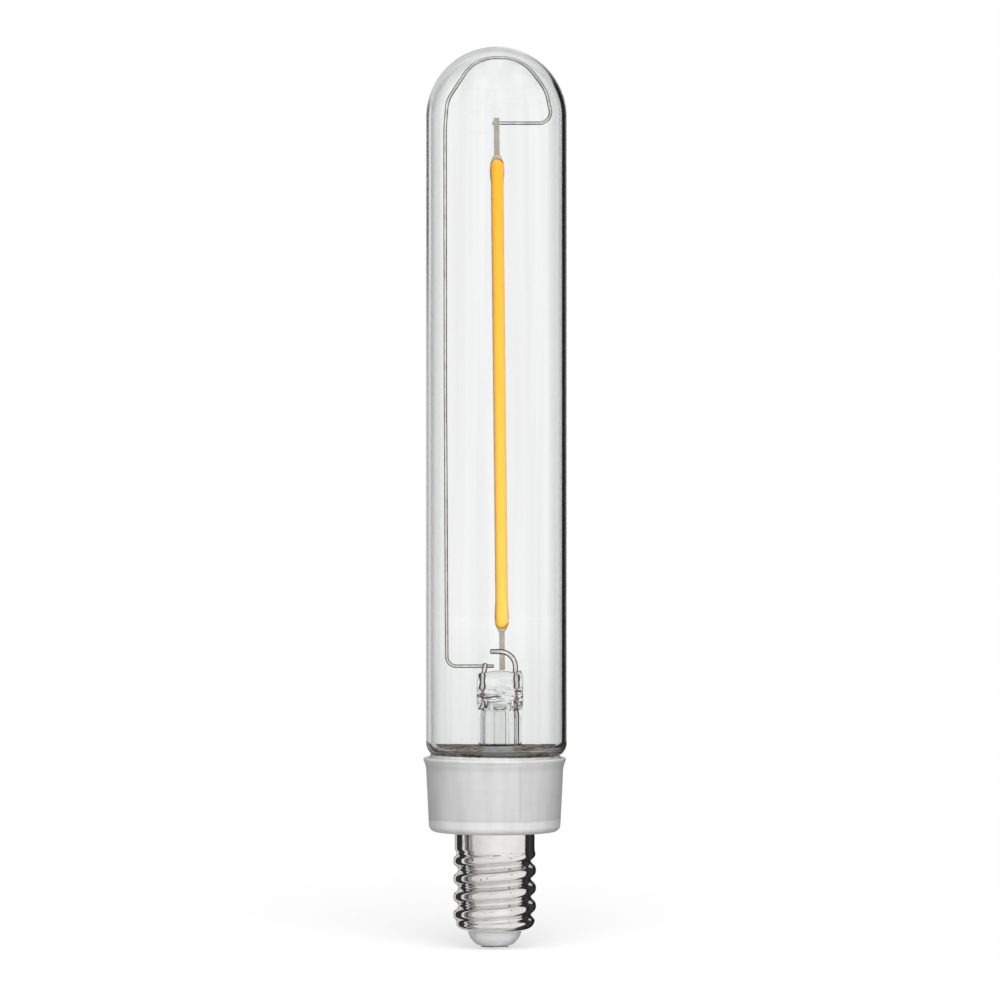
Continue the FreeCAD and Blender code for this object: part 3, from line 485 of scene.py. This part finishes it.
def pressFinish(look):
    material, tree, shader = startMaterial("pressGlass")
    place = objectPlace(tree)
    depth, pace, start = look["wave"]
    wave = calculate(tree, "SINE", calculate(tree, "MULTIPLY_ADD", place["X"], pace / mm, start))
    lineZ = calculate(tree, "MULTIPLY_ADD", wave, depth * mm, look["z"] * mm)

    def between(value, pair, *ends):
        return spread(tree, value, pair[0] * mm, pair[1] * mm, *ends)

    line = between(apart(tree, place["Z"], lineZ), look["line"])
    line = product(tree, line, between(place["X"], look["right"]))
    overLine = calculate(tree, "SUBTRACT", place["Z"], look["z"] * mm)
    fromAxis = apart(tree, place["X"], stem["axis"] * mm)
    marks = product(tree, spread(tree, noise(tree, (0.9, 0.9, 1.9), 2), *look["marks"]),
                    between(overLine, look["low"]), between(overLine, look["high"]),
                    between(fromAxis, look["outer"], look["weakest"], 1.0))
    # Painted shade: the pinch lines are darkened almost to black in the glass's colour.
    paintedCreaseShade = ramp(tree, calculate(tree, "MAXIMUM", line, marks),
                  [(0.0, (1.0, 1.0, 1.0)), (1.0, (0.01, 0.01, 0.01))])
    tint = clouded(tree, (0.6, 0.6, 0.2), 2, (0.87, 0.885, 0.877), (0.97, 0.975, 0.97))
    setInputs(tree, shader, {"Base Color": layered(tree, tint, paintedCreaseShade), "Roughness": 0.0,
                             "IOR": 1.5, "Transmission Weight": 1.0})
    bump(tree, shader, noise(tree, (0.7, 0.7, 0.35), 1), 0.35, 0.06)
    return material


# The drawn tube below the press bends light less, so the wires in it stay in sight.
tubeLook = {"dark": (0.93, 0.945, 0.937), "light": (0.98, 0.985, 0.98), "streak": (0.6, 0.6, 0.2),
            "waves": (0.7, 0.7, 0.35), "relief": (0.35, 0.06), "bending": 1.1, "mirror": 1.0}
tubeFinish = clearGlass("tubeGlass", tubeLook)
stemPiece = skin("glassStem", stemRows(stem))
dress(stemPiece, pressFinish(creases), "stem_glass", "glass_stem")
midShoulder = (stem["tubeTop"] + stem["pressFoot"]) / 2
wear(stemPiece, tubeFinish, lambda middles: middles[:, 2] < midShoulder)
wear(stemPiece, bedCement, onBed)

# Exhaust tube, pole to pole: up the outside from its rounded tip, then down its bore.
exhaust = {"axis": 0.75, "tip": 22.8, "top": 33.55, "radius": 1.3, "wall": 0.5, "sides": 64,
           "tipRows": (14, 12)}
tipZ = exhaust["tip"] + exhaust["radius"]
bore = exhaust["radius"] - exhaust["wall"]
profile = np.concatenate([
    arc(0, tipZ, exhaust["radius"], -90, 0, exhaust["tipRows"][0]),
    [(exhaust["radius"], exhaust["top"]), (bore, exhaust["top"])],
    arc(0, tipZ, bore, 0, -90, exhaust["tipRows"][1])])
dress(skin("exhaustTube", turned(profile, exhaust["axis"], exhaust["sides"])), tubeFinish,
      "stem_glass", "exhaust_tube")
print("stem made")

# Leads, seal wires, outer leads and return wire. left, right and holeX are places along
# x, and a bend is a height with the radius there.
leads = {"radius": 0.36, "sealRadius": 0.175, "outerRadius": 0.2, "left": -1.55, "right": 2.95,
         "start": 36.75, "stubBend": (38.95, 0.9), "stubEnd": (-1.3, 40.5), "hook": 42.15,
         "hookBend": 2.2, "hookEnd": -0.65, "foot": 27.1, "outerBend": 1.5, "holeX": 4.6,
         "holeZ": 22.5, "outerEnd": 19.45, "sealFoot": {"left": 34.85, "right": 32.7},
         "thinSides": 16}
metal = {"Metallic": 1.0}

# Drawn nickel wire in a plane: bright along its front and back, with painted shade along its sides
# that stands for mirrored dark surroundings, by how far a point lies from the wire's plane against
# the wire's radius.
nickelWire = {"side": (0.68, 0.92), "ragged": 0.12, "paintedSideShade": (0.04, 0.036, 0.034),
              "dark": (206, 199, 193), "light": (240, 236, 232), "roughness": (0.04, 0.12)}


def wireFinish(name, planeY, radius, look):
    material, tree, shader = startMaterial(name)
    fromPlane = apart(tree, objectPlace(tree)["Y"], planeY * mm)
    ragged = drift(tree, (1.5, 1.5, 0.5), 2, -look["ragged"], look["ragged"])
    height = calculate(tree, "ADD", calculate(tree, "DIVIDE", fromPlane, radius * mm), ragged)
    # Painted reflection: the sides darken where dark surroundings would mirror in them.
    side = ramp(tree, height, [(look["side"][0], look["paintedSideShade"]),
                               (look["side"][1], (1.0, 1.0, 1.0))])
    bright = clouded(tree, 0.8, 3, colour(*look["dark"]), colour(*look["light"]))
    setInputs(tree, shader, {"Base Color": layered(tree, bright, side), "Metallic": 1.0,
                             "Roughness": drift(tree, 0.8, 3, *look["roughness"])})
    return material


leadFinish = wireFinish("leadNickel", 0.0, leads["radius"], nickelWire)
copperFinish = plainFinish("sealCopper", colour(178, 122, 104), colour(216, 170, 152), 1.2, metal,
                           (0.25, 0.4))
tinnedFinish = plainFinish("tinnedCopper", grey(205), grey(238), 1.0, metal, (0.3, 0.45))

leadPaths = {
    "left": [(leads["left"], leads["start"]), (leads["left"], *leads["stubBend"]),
             leads["stubEnd"]],
    "right": [(leads["right"], leads["start"]), (leads["right"], leads["hook"], leads["hookBend"]),
              (leads["hookEnd"], leads["hook"])]}
for side in ("left", "right"):
    dress(skin("lead" + side.title(), wireRows(bentPath(leadPaths[side]), 0, leads["radius"])),
          leadFinish, "lead_nickel", "lead_" + side)
for side, holeX in (("left", -leads["holeX"]), ("right", leads["holeX"])):
    start, sealFoot = leads[side], leads["sealFoot"][side]
    sealPath = np.array([(start, leads["start"]), (start, (leads["start"] + sealFoot) / 2),
                         (start, sealFoot)])
    sealRows = wireRows(sealPath, 0, leads["sealRadius"], leads["thinSides"])
    dress(skin("sealWire" + side.title(), sealRows), copperFinish, "seal_copper",
          "seal_wire_" + side)
    outerPath = bentPath([(start, sealFoot), (start, leads["foot"], leads["outerBend"]),
                          (holeX, leads["holeZ"], leads["outerBend"] / 2),
                          (holeX, leads["outerEnd"])])
    outerRows = wireRows(outerPath, 0, leads["outerRadius"], leads["thinSides"])
    dress(skin("outerLead" + side.title(), outerRows), tinnedFinish, "tinned_copper",
          "outer_lead_" + side)

returnWire = {"radius": 0.25, "planeY": 0.62, "corners": (
    (-0.1, 40.05), (-6.83, 40.05, 1.35), (-7.034, 79.02, 187.0), (-7.08, 116.6, 19.64),
    (-6.772, 120.45, 4.02), (-2.751, 126.649, 5.2), (3.887, 126.649, 5.61), (7.403, 121.81, 5.52),
    (8.319, 117.2, 1.6), (-0.33, 117.2))}
returnRows = wireRows(bentPath(returnWire["corners"]), returnWire["planeY"], returnWire["radius"])
returnFinish = wireFinish("returnNickel", returnWire["planeY"], returnWire["radius"], nickelWire)
dress(skin("returnWire", returnRows), returnFinish, "lead_nickel", "return_wire")
print("wires made")

# Filament coat: a long leaning moulding with swollen ends that taper to the tabs. The
# outline is a distance from the end and the radius there.
filament = {"foot": (1.03, 0.445, 44.9), "head": (0.32, 0.285, 112.65), "sides": 48,
            "outline": ((0, 0.47), (0.3, 0.62), (0.8, 0.86), (1.25, 0.98), (2.15, 1.045),
                        (3.0, 1.0), (4.15, 0.9)), "softness": 0.5, "tip": 0.12,
            "firstRing": 0.001, "endLength": 5, "endRows": 40, "middleRows": 60,
            "ripple": 0.012, "rippleFrom": 1}


# Along the line from foot to head, the radius follows the outline from either end, is
# rounded off at the tips, and ripples by a product of two sines between them.
def filamentRows(size):
    foot, head = np.array(size["foot"]), np.array(size["head"])
    length = np.linalg.norm(head - foot)
    way = (head - foot) / length
    side = np.array([way[2], 0, -way[0]]) / np.hypot(way[2], way[0])
    across = np.cross(way, side)
    end = np.concatenate([[0, size["firstRing"]],
                          np.linspace(size["tip"] / 4, size["endLength"], size["endRows"])])
    middle = np.linspace(size["endLength"], length - size["endLength"], size["middleRows"])[1:-1]
    place = np.concatenate([end, middle, length - end[::-1]])
    fromEnd = np.minimum(place, length - place)
    radius = softLine(fromEnd, size["outline"], size["softness"])
    radius = radius * np.sqrt(1 - (1 - np.clip(fromEnd / size["tip"], 0, 1)) ** 2)
    ripple = size["ripple"] * np.sin(1.9 * place) * np.sin(0.37 * place)
    radius = radius + ripple * (fromEnd > size["rippleFrom"])
    around = roundAngles(size["sides"])
    return (foot + way * place[:, None, None] + side * (radius[:, None] * np.cos(around))[..., None]
            + across * (radius[:, None] * np.sin(around))[..., None])


# Amber with painted shade on its dark left rim and a painted pale sheen on its pinkish right one,
# lighter low down, with clear grey resin at both ends, and a painted glow of its own colour. The
# upper and lower tones run from left to right over the width, and the resin's from a little beyond
# the end inwards. The resin's edge is hollow.
amber = {"halfWidth": 1.05, "grain": 0.12, "ragged": 0.3, "hollow": 0.75, "resin": (-0.4, 1.6),
         "resinEnd": (1.2, 0.8), "paintedGlow": 0.35,
         "upper": ((0.0, (150, 96, 24)), (0.12, (222, 148, 34)), (0.24, (250, 180, 16)),
                   (0.7, (255, 189, 20)), (0.8, (255, 180, 64)), (0.88, (250, 196, 140)),
                   (1.0, (206, 160, 132))),
         "lower": ((0.0, (160, 110, 40)), (0.14, (232, 172, 60)), (0.3, (255, 206, 74)),
                   (0.7, (255, 213, 88)), (0.82, (255, 202, 118)), (0.9, (248, 208, 166)),
                   (1.0, (204, 168, 140))),
         "ends": ((0.0, (128, 122, 120)), (0.2, (182, 174, 166)), (0.4, (196, 184, 168)),
                  (0.46, (112, 76, 40)), (0.52, (206, 140, 44)), (0.62, (254, 190, 46)))}


def filamentFinish(size, look):
    material, tree, shader = startMaterial("filamentSilicone")
    place = objectPlace(tree)
    footX, _, footZ = size["foot"]
    headX, _, headZ = size["head"]
    middleZ = (footZ + headZ) / 2
    slope = (headX - footX) / (headZ - footZ)
    axisX = calculate(tree, "MULTIPLY_ADD", place["Z"], slope, (footX - slope * footZ) * mm)
    offset = calculate(tree, "SUBTRACT", place["X"], axisX)
    grain = drift(tree, (2.5, 2.5, 1.2), 3, -look["grain"] * mm, look["grain"] * mm)
    across = spread(tree, calculate(tree, "ADD", offset, grain),
                    -look["halfWidth"] * mm, look["halfWidth"] * mm)
    height = spread(tree, place["Z"], footZ * mm, headZ * mm)
    # Painted shade and sheen: the tones across the width darken the left rim and pale the right
    # one.
    shade = mixColours(tree, height, ramp(tree, across, tones(look["lower"])),
                       ramp(tree, across, tones(look["upper"])))
    ragged = drift(tree, 0.9, 1, -look["ragged"] * mm, look["ragged"] * mm)
    fromMiddle = calculate(tree, "ADD", apart(tree, place["Z"], middleZ * mm), ragged)
    fromEnd = calculate(tree, "SUBTRACT", (headZ - middleZ) * mm, fromMiddle)
    hollow = product(tree, offset, offset, look["hollow"] / mm)
    fromEnd = calculate(tree, "SUBTRACT", fromEnd, hollow)
    outermost, innermost = look["resin"]
    resin = ramp(tree, spread(tree, fromEnd, outermost * mm, innermost * mm), tones(look["ends"]))
    atEnd = spread(tree, fromEnd, look["resinEnd"][0] * mm, look["resinEnd"][1] * mm)
    shade = mixColours(tree, atEnd, shade, resin)
    # Painted glow: the coat shines a little with its own colour.
    setInputs(tree, shader, {"Base Color": shade, "Roughness": 0.4, "Specular IOR Level": 0.15,
                             "Emission Color": shade, "Emission Strength": look["paintedGlow"]})
    bump(tree, shader, noise(tree, (1.2, 1.2, 0.5), 2), 0.3, 0.05)
    return material


dress(skin("filamentCoat", filamentRows(filament)), filamentFinish(filament, amber),
      "filament_silicone", "filament_coat")
print("filament made")

# Screw shell: cut level by level, the wall's radius swings once round the axis in each
# pitch, with broad crests and narrow roots.
shell = {"base": 2.65, "top": 16.6, "crest": 5.9, "depth": 0.7, "pitch": 2.54, "crestZ": 12.4,
         "band": 5.7, "bandLength": 2.3, "mouth": 4.1, "turnIn": 1.0, "fade": 1.4, "wall": 0.25,
         "sides": 144, "rowsPerPitch": 26, "turnInRows": 9, "breadth": 0.2, "dents": 0.008}


# radius + throw (cos a - b cos 2a + b), a the angle from the crest and b the breadth. The
# outside, which has no inset, also has slight dents: products and sums of sines.
def shellRows(size, heights, inset):
    throw = size["depth"] / 2
    mean = size["crest"] - throw
    threadTop = size["top"] - size["bandLength"]
    rise = np.clip((heights - size["base"]) / size["turnIn"], 0, 1)
    radius = size["mouth"] + (mean - size["mouth"]) * np.sqrt(1 - (1 - rise) ** 2)
    toBand = smoothStep((heights - threadTop + size["fade"]) / size["fade"])
    radius = radius + (size["band"] - mean) * toBand
    throw = throw * smoothStep((heights - size["base"] - size["turnIn"] / 2) / size["fade"])
    throw = throw * smoothStep((threadTop - heights) / size["fade"])
    turn = np.pi + 2 * np.pi * (heights - size["crestZ"]) / size["pitch"]
    around = roundAngles(size["sides"])
    phase = around - turn[:, None]
    wave = np.cos(phase) - size["breadth"] * np.cos(2 * phase) + size["breadth"]
    reach = radius[:, None] - inset + throw[:, None] * wave
    height = heights[:, None] + 0 * around
    dents = np.sin(5 * around + 2.2 * height) * np.sin(3 * height + 1) + np.sin(9 * around - height)
    reach = reach - size["dents"] * (1 + dents / 2) * (inset == 0)
    return np.stack([reach * np.cos(around), reach * np.sin(around), height], -1)


turnInTurn = np.radians(np.linspace(0, 90, shell["turnInRows"]))
turnInZ = shell["base"] + shell["turnIn"] * (1 - np.cos(turnInTurn))
threadZ = np.arange(turnInZ[-1], shell["top"], shell["pitch"] / shell["rowsPerPitch"])[1:]
heights = np.concatenate([turnInZ, threadZ, [shell["top"]]])
wallRows = np.concatenate([shellRows(shell, heights, 0),
                           shellRows(shell, heights, shell["wall"])[::-1]])


# Bright plating with a few small dull marks and slight dents.
def nickelFinish():
    material, tree, shader = startMaterial("nickelPlate")
    marks = ramp(tree, noise(tree, (1.3, 1.3, 0.8), 1), [(0.2, grey(120)), (0.25, grey(255))])
    cloud = clouded(tree, 0.3, 3, colour(214, 211, 208), colour(230, 228, 226))
    setInputs(tree, shader, {"Base Color": layered(tree, cloud, marks), "Metallic": 1.0,
                             "Roughness": drift(tree, 0.4, 3, 0.03, 0.1)})
    bump(tree, shader, noise(tree, 0.55, 2), 0.5, 0.05)
    return material


dress(skin("screwShell", wallRows, looped=True), nickelFinish(), "nickel_plate", "screw_shell")
print("shell made")

# Collar: a milky cup whose mouth flares in a hollow curve. Its solid floor, its lip and a band
# under the lip are painted lighter than the wall, as painted light that passes through them, with
# painted shade in a thin line above the floor. neck is two radii and a height, ledge a radius and a
# height.
collar = {"foot": 9.35, "top": 9.72, "rim": 10.12, "corner": 1.0, "wall": 0.78, "footZ": 16.6,
          "flareZ": 25.2, "flare": 1.6, "topZ": 27.1, "edge": 0.14, "hollow": 1.7, "sides": 160,
          "neck": (4.72, 5.37, 14.5), "ledge": (8.07, 20.0), "floorZ": 18.8, "cementZ": 25.4,
          "cornerRows": 14, "flareRows": 14, "edgeRows": 6}


# Up the outside from the neck, with radius top + (rim - top) share^hollow in the flare,
# then over the rounded edge and down the inside to the ledge and the floor.
def collarProfile(size):
    bore, neck, neckZ = size["neck"]
    share = np.linspace(0, 1, size["flareRows"])
    flare = size["top"] + (size["rim"] - size["top"]) * share ** size["hollow"]
    rimIn = size["rim"] - size["wall"] + size["edge"]
    edgeZ = size["topZ"] - size["edge"]
    return np.concatenate([
        [(bore, neckZ), (neck, neckZ), (neck, size["footZ"])],
        arc(size["foot"] - size["corner"], size["footZ"] + size["corner"], size["corner"],
            -90, 0, size["cornerRows"]),
        sideBySide(flare, size["flareZ"] + size["flare"] * share),
        arc(size["rim"] - size["edge"], edgeZ, size["edge"], 0, 90, size["edgeRows"]),
        arc(rimIn, edgeZ, size["edge"], 90, 180, size["edgeRows"]),
        [(size["top"] - size["wall"], size["cementZ"]),
         (size["foot"] - size["wall"], size["ledge"][1]), size["ledge"],
         (size["ledge"][0], size["floorZ"]), (bore, size["floorZ"])]])


# The greys of the bands, painted light and shade, run from the first height to the second. A faint
# seam stands at seamX, as long as its two half lengths from seamZ say.
milky = {"heights": (16.0, 28.0), "ragged": 0.25, "seamX": 3.6, "seamZ": 22.5, "seamWidth": 0.3,
         "seamEnds": (4.2, 3.2), "scatter": 0.8, "roughness": (0.36, 0.5),
         "paintedLightBands": ((0.19, 232), (0.215, 204), (0.235, 213), (0.84, 216), (0.87, 228),
                   (0.895, 216), (0.92, 230))}


def milkyFinish(look):
    material, tree, shader = startMaterial("milkyPlastic")
    place = objectPlace(tree)
    ragged = drift(tree, (0.12, 0.12, 0.4), 2, -look["ragged"] * mm, look["ragged"] * mm)
    bottom, top = look["heights"]
    height = spread(tree, calculate(tree, "ADD", place["Z"], ragged), bottom * mm, top * mm)
    # Painted light and shade: lighter floor, lip and band under it, and a thin dark line above the
    # floor.
    paintedLightBands = ramp(tree, height, [(at, grey(level)) for at, level in look["paintedLightBands"]])
    streaks = clouded(tree, (0.15, 0.15, 1.6), 3, grey(251), grey(255))
    clouds = clouded(tree, (0.5, 0.5, 0.08), 3, grey(240), grey(255))
    fromSeam = apart(tree, place["X"], look["seamX"] * mm)
    seamEnd = spread(tree, apart(tree, place["Z"], look["seamZ"] * mm),
                     look["seamEnds"][0] * mm, look["seamEnds"][1] * mm)
    seamMark = product(tree, spread(tree, fromSeam, look["seamWidth"] * mm, 0), seamEnd)
    seam = ramp(tree, seamMark, [(0.0, grey(255)), (1.0, grey(243))])
    setInputs(tree, shader, {"Base Color": layered(tree, paintedLightBands, streaks, clouds, seam),
                             "Subsurface Weight": 0.3, "Subsurface Radius": (1.0, 1.0, 1.0),
                             "Subsurface Scale": look["scatter"] * mm,
                             "Roughness": drift(tree, 0.3, 3, *look["roughness"])})
    bump(tree, shader, noise(tree, (0.25, 0.25, 1.6), 3), 0.12, 0.02)
    return material


collarRows = turned(collarProfile(collar), 0, collar["sides"])
dress(skin("collar", collarRows, looped=True, sharp=25), milkyFinish(milky), "milky_plastic",
      "collar")

# Insulator: a bowl under the shell and a plug inside it. Contact: a shallow dome.
insulator = {"bowl": ((1.6, 0.35), (2.65, 0.6, 1.3), (3.5, 1.55, 1.6), (3.9, 2.65)),
             "plug": ((3.8, 2.65), (3.8, 3.1), (4.75, 3.8), (4.75, 4.85), (1.15, 4.85),
                      (1.15, 0.35)), "sides": 96, "scatter": 1.0}
profile = np.concatenate([bentPath(insulator["bowl"]), insulator["plug"]])
insulatorFinish = plainFinish(
    "insulatorPlastic", grey(236), grey(250), 0.5,
    {"Subsurface Weight": 0.3, "Subsurface Scale": insulator["scatter"] * mm}, (0.3, 0.45))
dress(skin("insulator", turned(profile, 0, insulator["sides"]), looped=True), insulatorFinish,
      "insulator_plastic", "insulator")

contact = {"face": ((0.0, 0.0), (0.75, 0.0, 4.0), (2.05, 0.3)),
           "shank": ((2.05, 0.35), (1.1, 0.35), (1.1, 5.45), (0.305, 5.45), (0.305, 3.85),
                     (0.0, 3.85)), "sides": 72}
profile = np.concatenate([bentPath(contact["face"]), contact["shank"]])
contactFinish = plainFinish("contactMetal", grey(205), grey(228), 0.6, metal, (0.12, 0.25),
                            (1.5, 0.2, 0.03))
dress(skin("centreContact", turned(profile, 0, contact["sides"])), contactFinish,
      "contact_metal", "centre_contact")

# CAD nodes that stay as they are, with their finishes.
blackFinish = plainFinish("blackMoulding", grey(28), grey(44), 2.0, {}, (0.4, 0.55))
tabFinish = plainFinish("tabSteel", colour(176, 168, 154), colour(202, 195, 182), 0.4, metal,
                        (0.22, 0.3))
kept = {
    "bedding_cement": cementFinish(cement),
    "filament_tab_top": tabFinish,
    "filament_tab_bottom": tabFinish,
    "filament_strip": plainFinish("stripCeramic", grey(205), grey(230), 1.5, {}, (0.4, 0.6)),
    "led_chips": plainFinish("chipCrystal", colour(150, 160, 175), colour(190, 200, 210), 3.0, {},
                             (0.15, 0.3)),
    "driver_board": plainFinish("boardLaminate", colour(172, 158, 112), colour(198, 184, 138), 0.8,
                                {}, (0.45, 0.6)),
    "bridge_rectifier": blackFinish,
    "driver_chip": blackFinish,
    "smoothing_capacitor": plainFinish("capacitorSleeve", colour(24, 26, 34), colour(38, 40, 52),
                                       0.6, {}, (0.25, 0.35)),
    "fusible_resistor": plainFinish("resistorCoat", colour(96, 132, 118), colour(120, 156, 140),
                                    1.2, {}, (0.35, 0.5)),
    "solder_joints": plainFinish("solder", grey(150), grey(190), 1.5, metal, (0.2, 0.35)),
    "shell_wire": tinnedFinish,
}
for node, finish in kept.items():
    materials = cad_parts[node].data.materials
    materials.clear()
    materials.append(finish)
print("plastic parts and hidden parts made")

# Floor: pale, lifted to white where the camera sees it. Through the glass it looks a
# little less bright near the lamp, from the distance near to the distance far. It is open
# to mirrored rays, which see the studio's boards instead.
floor = {"size": 4.0, "colour": 0.46, "drift": 1.01, "patch": 0.002, "lift": 0.63,
         "through": 0.8, "near": 0.6, "far": 1.8}
bpy.ops.mesh.primitive_plane_add(size=floor["size"])
floorPiece = bpy.context.object
floorPiece.name = "floor"
material, tree, shader = startMaterial("paleFloor")
base = clouded(tree, floor["patch"], 2, [floor["colour"]] * 3,
               [floor["colour"] * floor["drift"]] * 3)
rays = addNode(tree, "ShaderNodeLightPath").outputs
mirroredRay = product(tree, calculate(tree, "GREATER_THAN", rays["Glossy Depth"], 0.5),
                      calculate(tree, "LESS_THAN", rays["Diffuse Depth"], 0.5))
place = addNode(tree, "ShaderNodeTexCoord").outputs["Object"]
away = addNode(tree, "ShaderNodeVectorMath", {0: place}, operation="LENGTH").outputs["Value"]
throughGlass = product(tree, rays["Is Transmission Ray"],
                       spread(tree, away, floor["near"], floor["far"], floor["through"], 1.0))
seenRay = calculate(tree, "MAXIMUM", rays["Is Camera Ray"], throughGlass)
setInputs(tree, shader, {"Base Color": base, "Roughness": 0.9, "Specular IOR Level": 0.0,
                         "Emission Color": (1, 1, 1, 1),
                         "Emission Strength": product(tree, seenRay, floor["lift"])})
clear = addNode(tree, "ShaderNodeBsdfTransparent")
mixed = addNode(tree, "ShaderNodeMixShader", {0: mirroredRay, 1: shader.outputs[0],
                                              2: clear.outputs[0]})
tree.links.new(mixed.outputs[0], tree.nodes["Material Output"].inputs["Surface"])
floorPiece.data.materials.append(material)

# World: white to the camera and through the glass, a soft front light for plain surfaces,
# and boards round the lamp for mirrored rays. Azimuth 0 looks to the front (-Y) and 90 to
# +X. The bars are narrow grey strips that cross the studio level. Heights are sines. The
# boards behind the lamp end at heights of their own, over which the studio is pale, as it
# is steeply up and down, and the left one pales low down too. The gear is small and dark:
# an azimuth, a half width, and its foot and top.
studio = {
    "boards": ((-170, 1.0), (-167, 0.04), (-154, 0.04), (-150, 1.0), (-143, 1.0), (-140, 0.04),
               (-108, 0.04), (-104, 0.9), (-97, 0.9), (-95, 0.26), (-88, 0.26), (-86, 0.08),
               (-81, 0.08), (-79, 0.5), (-71, 0.34), (-64, 0.86), (-30, 1.0), (20, 1.12), (96, 1.0),
               (100, 0.02), (125, 0.06), (159, 0.0), (162, 0.14), (171, 0.14), (173, 1.0)),
    "bars": ((-0.61, 1.0), (-0.59, 0.3), (-0.57, 0.3), (-0.55, 1.0), (0.27, 1.0), (0.29, 0.5),
             (0.31, 0.5), (0.33, 1.0), (0.62, 1.0), (0.64, 0.25), (0.66, 0.25), (0.68, 1.0)),
    "behind": 142, "leftTop": 0.12, "rightTop": 0.34, "topBlur": 0.06, "leftFoot": (0.055, 0.03),
    "leftFootPaleness": 0.7, "steep": (0.78, 0.9), "above": 0.66,
    "gear": ((47, 2.2, 0.1, 0.25), (-8, 9.0, 0.19, 0.26)), "gearGrey": 0.08,
    "low": 0.05, "front": 5.3, "frontTurn": 4, "lobe": 8, "least": 0.14, "zenith": 0.3}
world = bpy.data.worlds.new("studio")
bpy.context.scene.world = world
world.use_nodes = True
tree = world.node_tree
tree.nodes.clear()


def evenGrey(level):
    node = addNode(tree, "ShaderNodeRGB")
    node.outputs[0].default_value = (level, level, level, 1)
    return node.outputs[0]


way = addNode(tree, "ShaderNodeTexCoord").outputs["Generated"]
place = addNode(tree, "ShaderNodeSeparateXYZ", {"Vector": way}).outputs
azimuth = calculate(tree, "ARCTAN2", place["X"], product(tree, place["Y"], -1.0))
boards = ramp(tree, spread(tree, azimuth, -math.pi, math.pi),
              [((degrees + 180) / 360, [level] * 3) for degrees, level in studio["boards"]])
bars = ramp(tree, spread(tree, place["Z"], -1, 1),
            [((height + 1) / 2, [level] * 3) for height, level in studio["bars"]])
behind = math.radians(studio["behind"])
leftTop, rightTop, topBlur = studio["leftTop"], studio["rightTop"], studio["topBlur"]
paleLeft = calculate(tree, "MAXIMUM", spread(tree, place["Z"], leftTop, leftTop + topBlur),
                     spread(tree, place["Z"], *studio["leftFoot"], 0.0, studio["leftFootPaleness"]))
overLeft = product(tree, calculate(tree, "LESS_THAN", azimuth, -behind), paleLeft)
overRight = product(tree, calculate(tree, "GREATER_THAN", azimuth, behind),
                    spread(tree, place["Z"], rightTop, rightTop + topBlur))
pale = spread(tree, calculate(tree, "ABSOLUTE", place["Z"]), *studio["steep"])
pale = calculate(tree, "MAXIMUM", pale, calculate(tree, "MAXIMUM", overLeft, overRight))
mirrored = mixColours(tree, pale, layered(tree, boards, bars), evenGrey(studio["above"]))
for degrees, halfWidth, bottom, top in studio["gear"]:
    fromGear = apart(tree, azimuth, math.radians(degrees))
    shape = product(tree, calculate(tree, "LESS_THAN", fromGear, math.radians(halfWidth)),
                    calculate(tree, "GREATER_THAN", place["Z"], bottom),
                    calculate(tree, "LESS_THAN", place["Z"], top))
    mirrored = mixColours(tree, shape, mirrored, evenGrey(studio["gearGrey"]))
fromFront = calculate(tree, "SUBTRACT", azimuth, math.radians(studio["frontTurn"]))
facing = calculate(tree, "MAXIMUM", calculate(tree, "COSINE", fromFront), 0.0)
facing = calculate(tree, "POWER", facing, studio["lobe"])
soft = calculate(tree, "MULTIPLY_ADD", facing, studio["front"], studio["low"])
soft = calculate(tree, "MAXIMUM", soft, studio["least"])
upward = calculate(tree, "MAXIMUM", place["Z"], 0.0)
soft = calculate(tree, "MULTIPLY_ADD", upward, studio["zenith"], soft)
rays = addNode(tree, "ShaderNodeLightPath").outputs
direct = calculate(tree, "LESS_THAN", rays["Diffuse Depth"], 0.5)
glossy = calculate(tree, "GREATER_THAN", rays["Glossy Depth"], 0.5)
through = product(tree, rays["Is Transmission Ray"], calculate(tree, "SUBTRACT", 1.0, glossy),
                  direct)
seen = calculate(tree, "MAXIMUM", rays["Is Camera Ray"], through)
softly = addNode(tree, "ShaderNodeBackground", {"Strength": soft}).outputs[0]
mirrors = addNode(tree, "ShaderNodeBackground", {"Color": mirrored}).outputs[0]
plain = addNode(tree, "ShaderNodeBackground", {"Color": (1, 1, 1, 1)}).outputs[0]
unseen = addNode(tree, "ShaderNodeMixShader", {0: product(tree, glossy, direct), 1: softly,
                                               2: mirrors}).outputs[0]
shown = addNode(tree, "ShaderNodeMixShader", {0: seen, 1: unseen, 2: plain}).outputs[0]
addNode(tree, "ShaderNodeOutputWorld", {"Surface": shown})

camera = {"place": (0.76, -700.0, 63.66), "lens": 177.46, "sensor": 36.0, "nearest": 10.0}
cameraData = bpy.data.cameras.new("camera")
cameraData.lens = camera["lens"]
cameraData.sensor_width = camera["sensor"]
cameraData.clip_start = camera["nearest"] * mm
cameraObject = bpy.data.objects.new("camera", cameraData)
cameraObject.location = [part * mm for part in camera["place"]]
cameraObject.rotation_euler = (math.pi / 2, 0, 0)  # level, looking along +Y
bpy.context.collection.objects.link(cameraObject)
bpy.context.scene.camera = cameraObject
bpy.context.scene.view_settings.view_transform = "Standard"
print("stage and camera made")
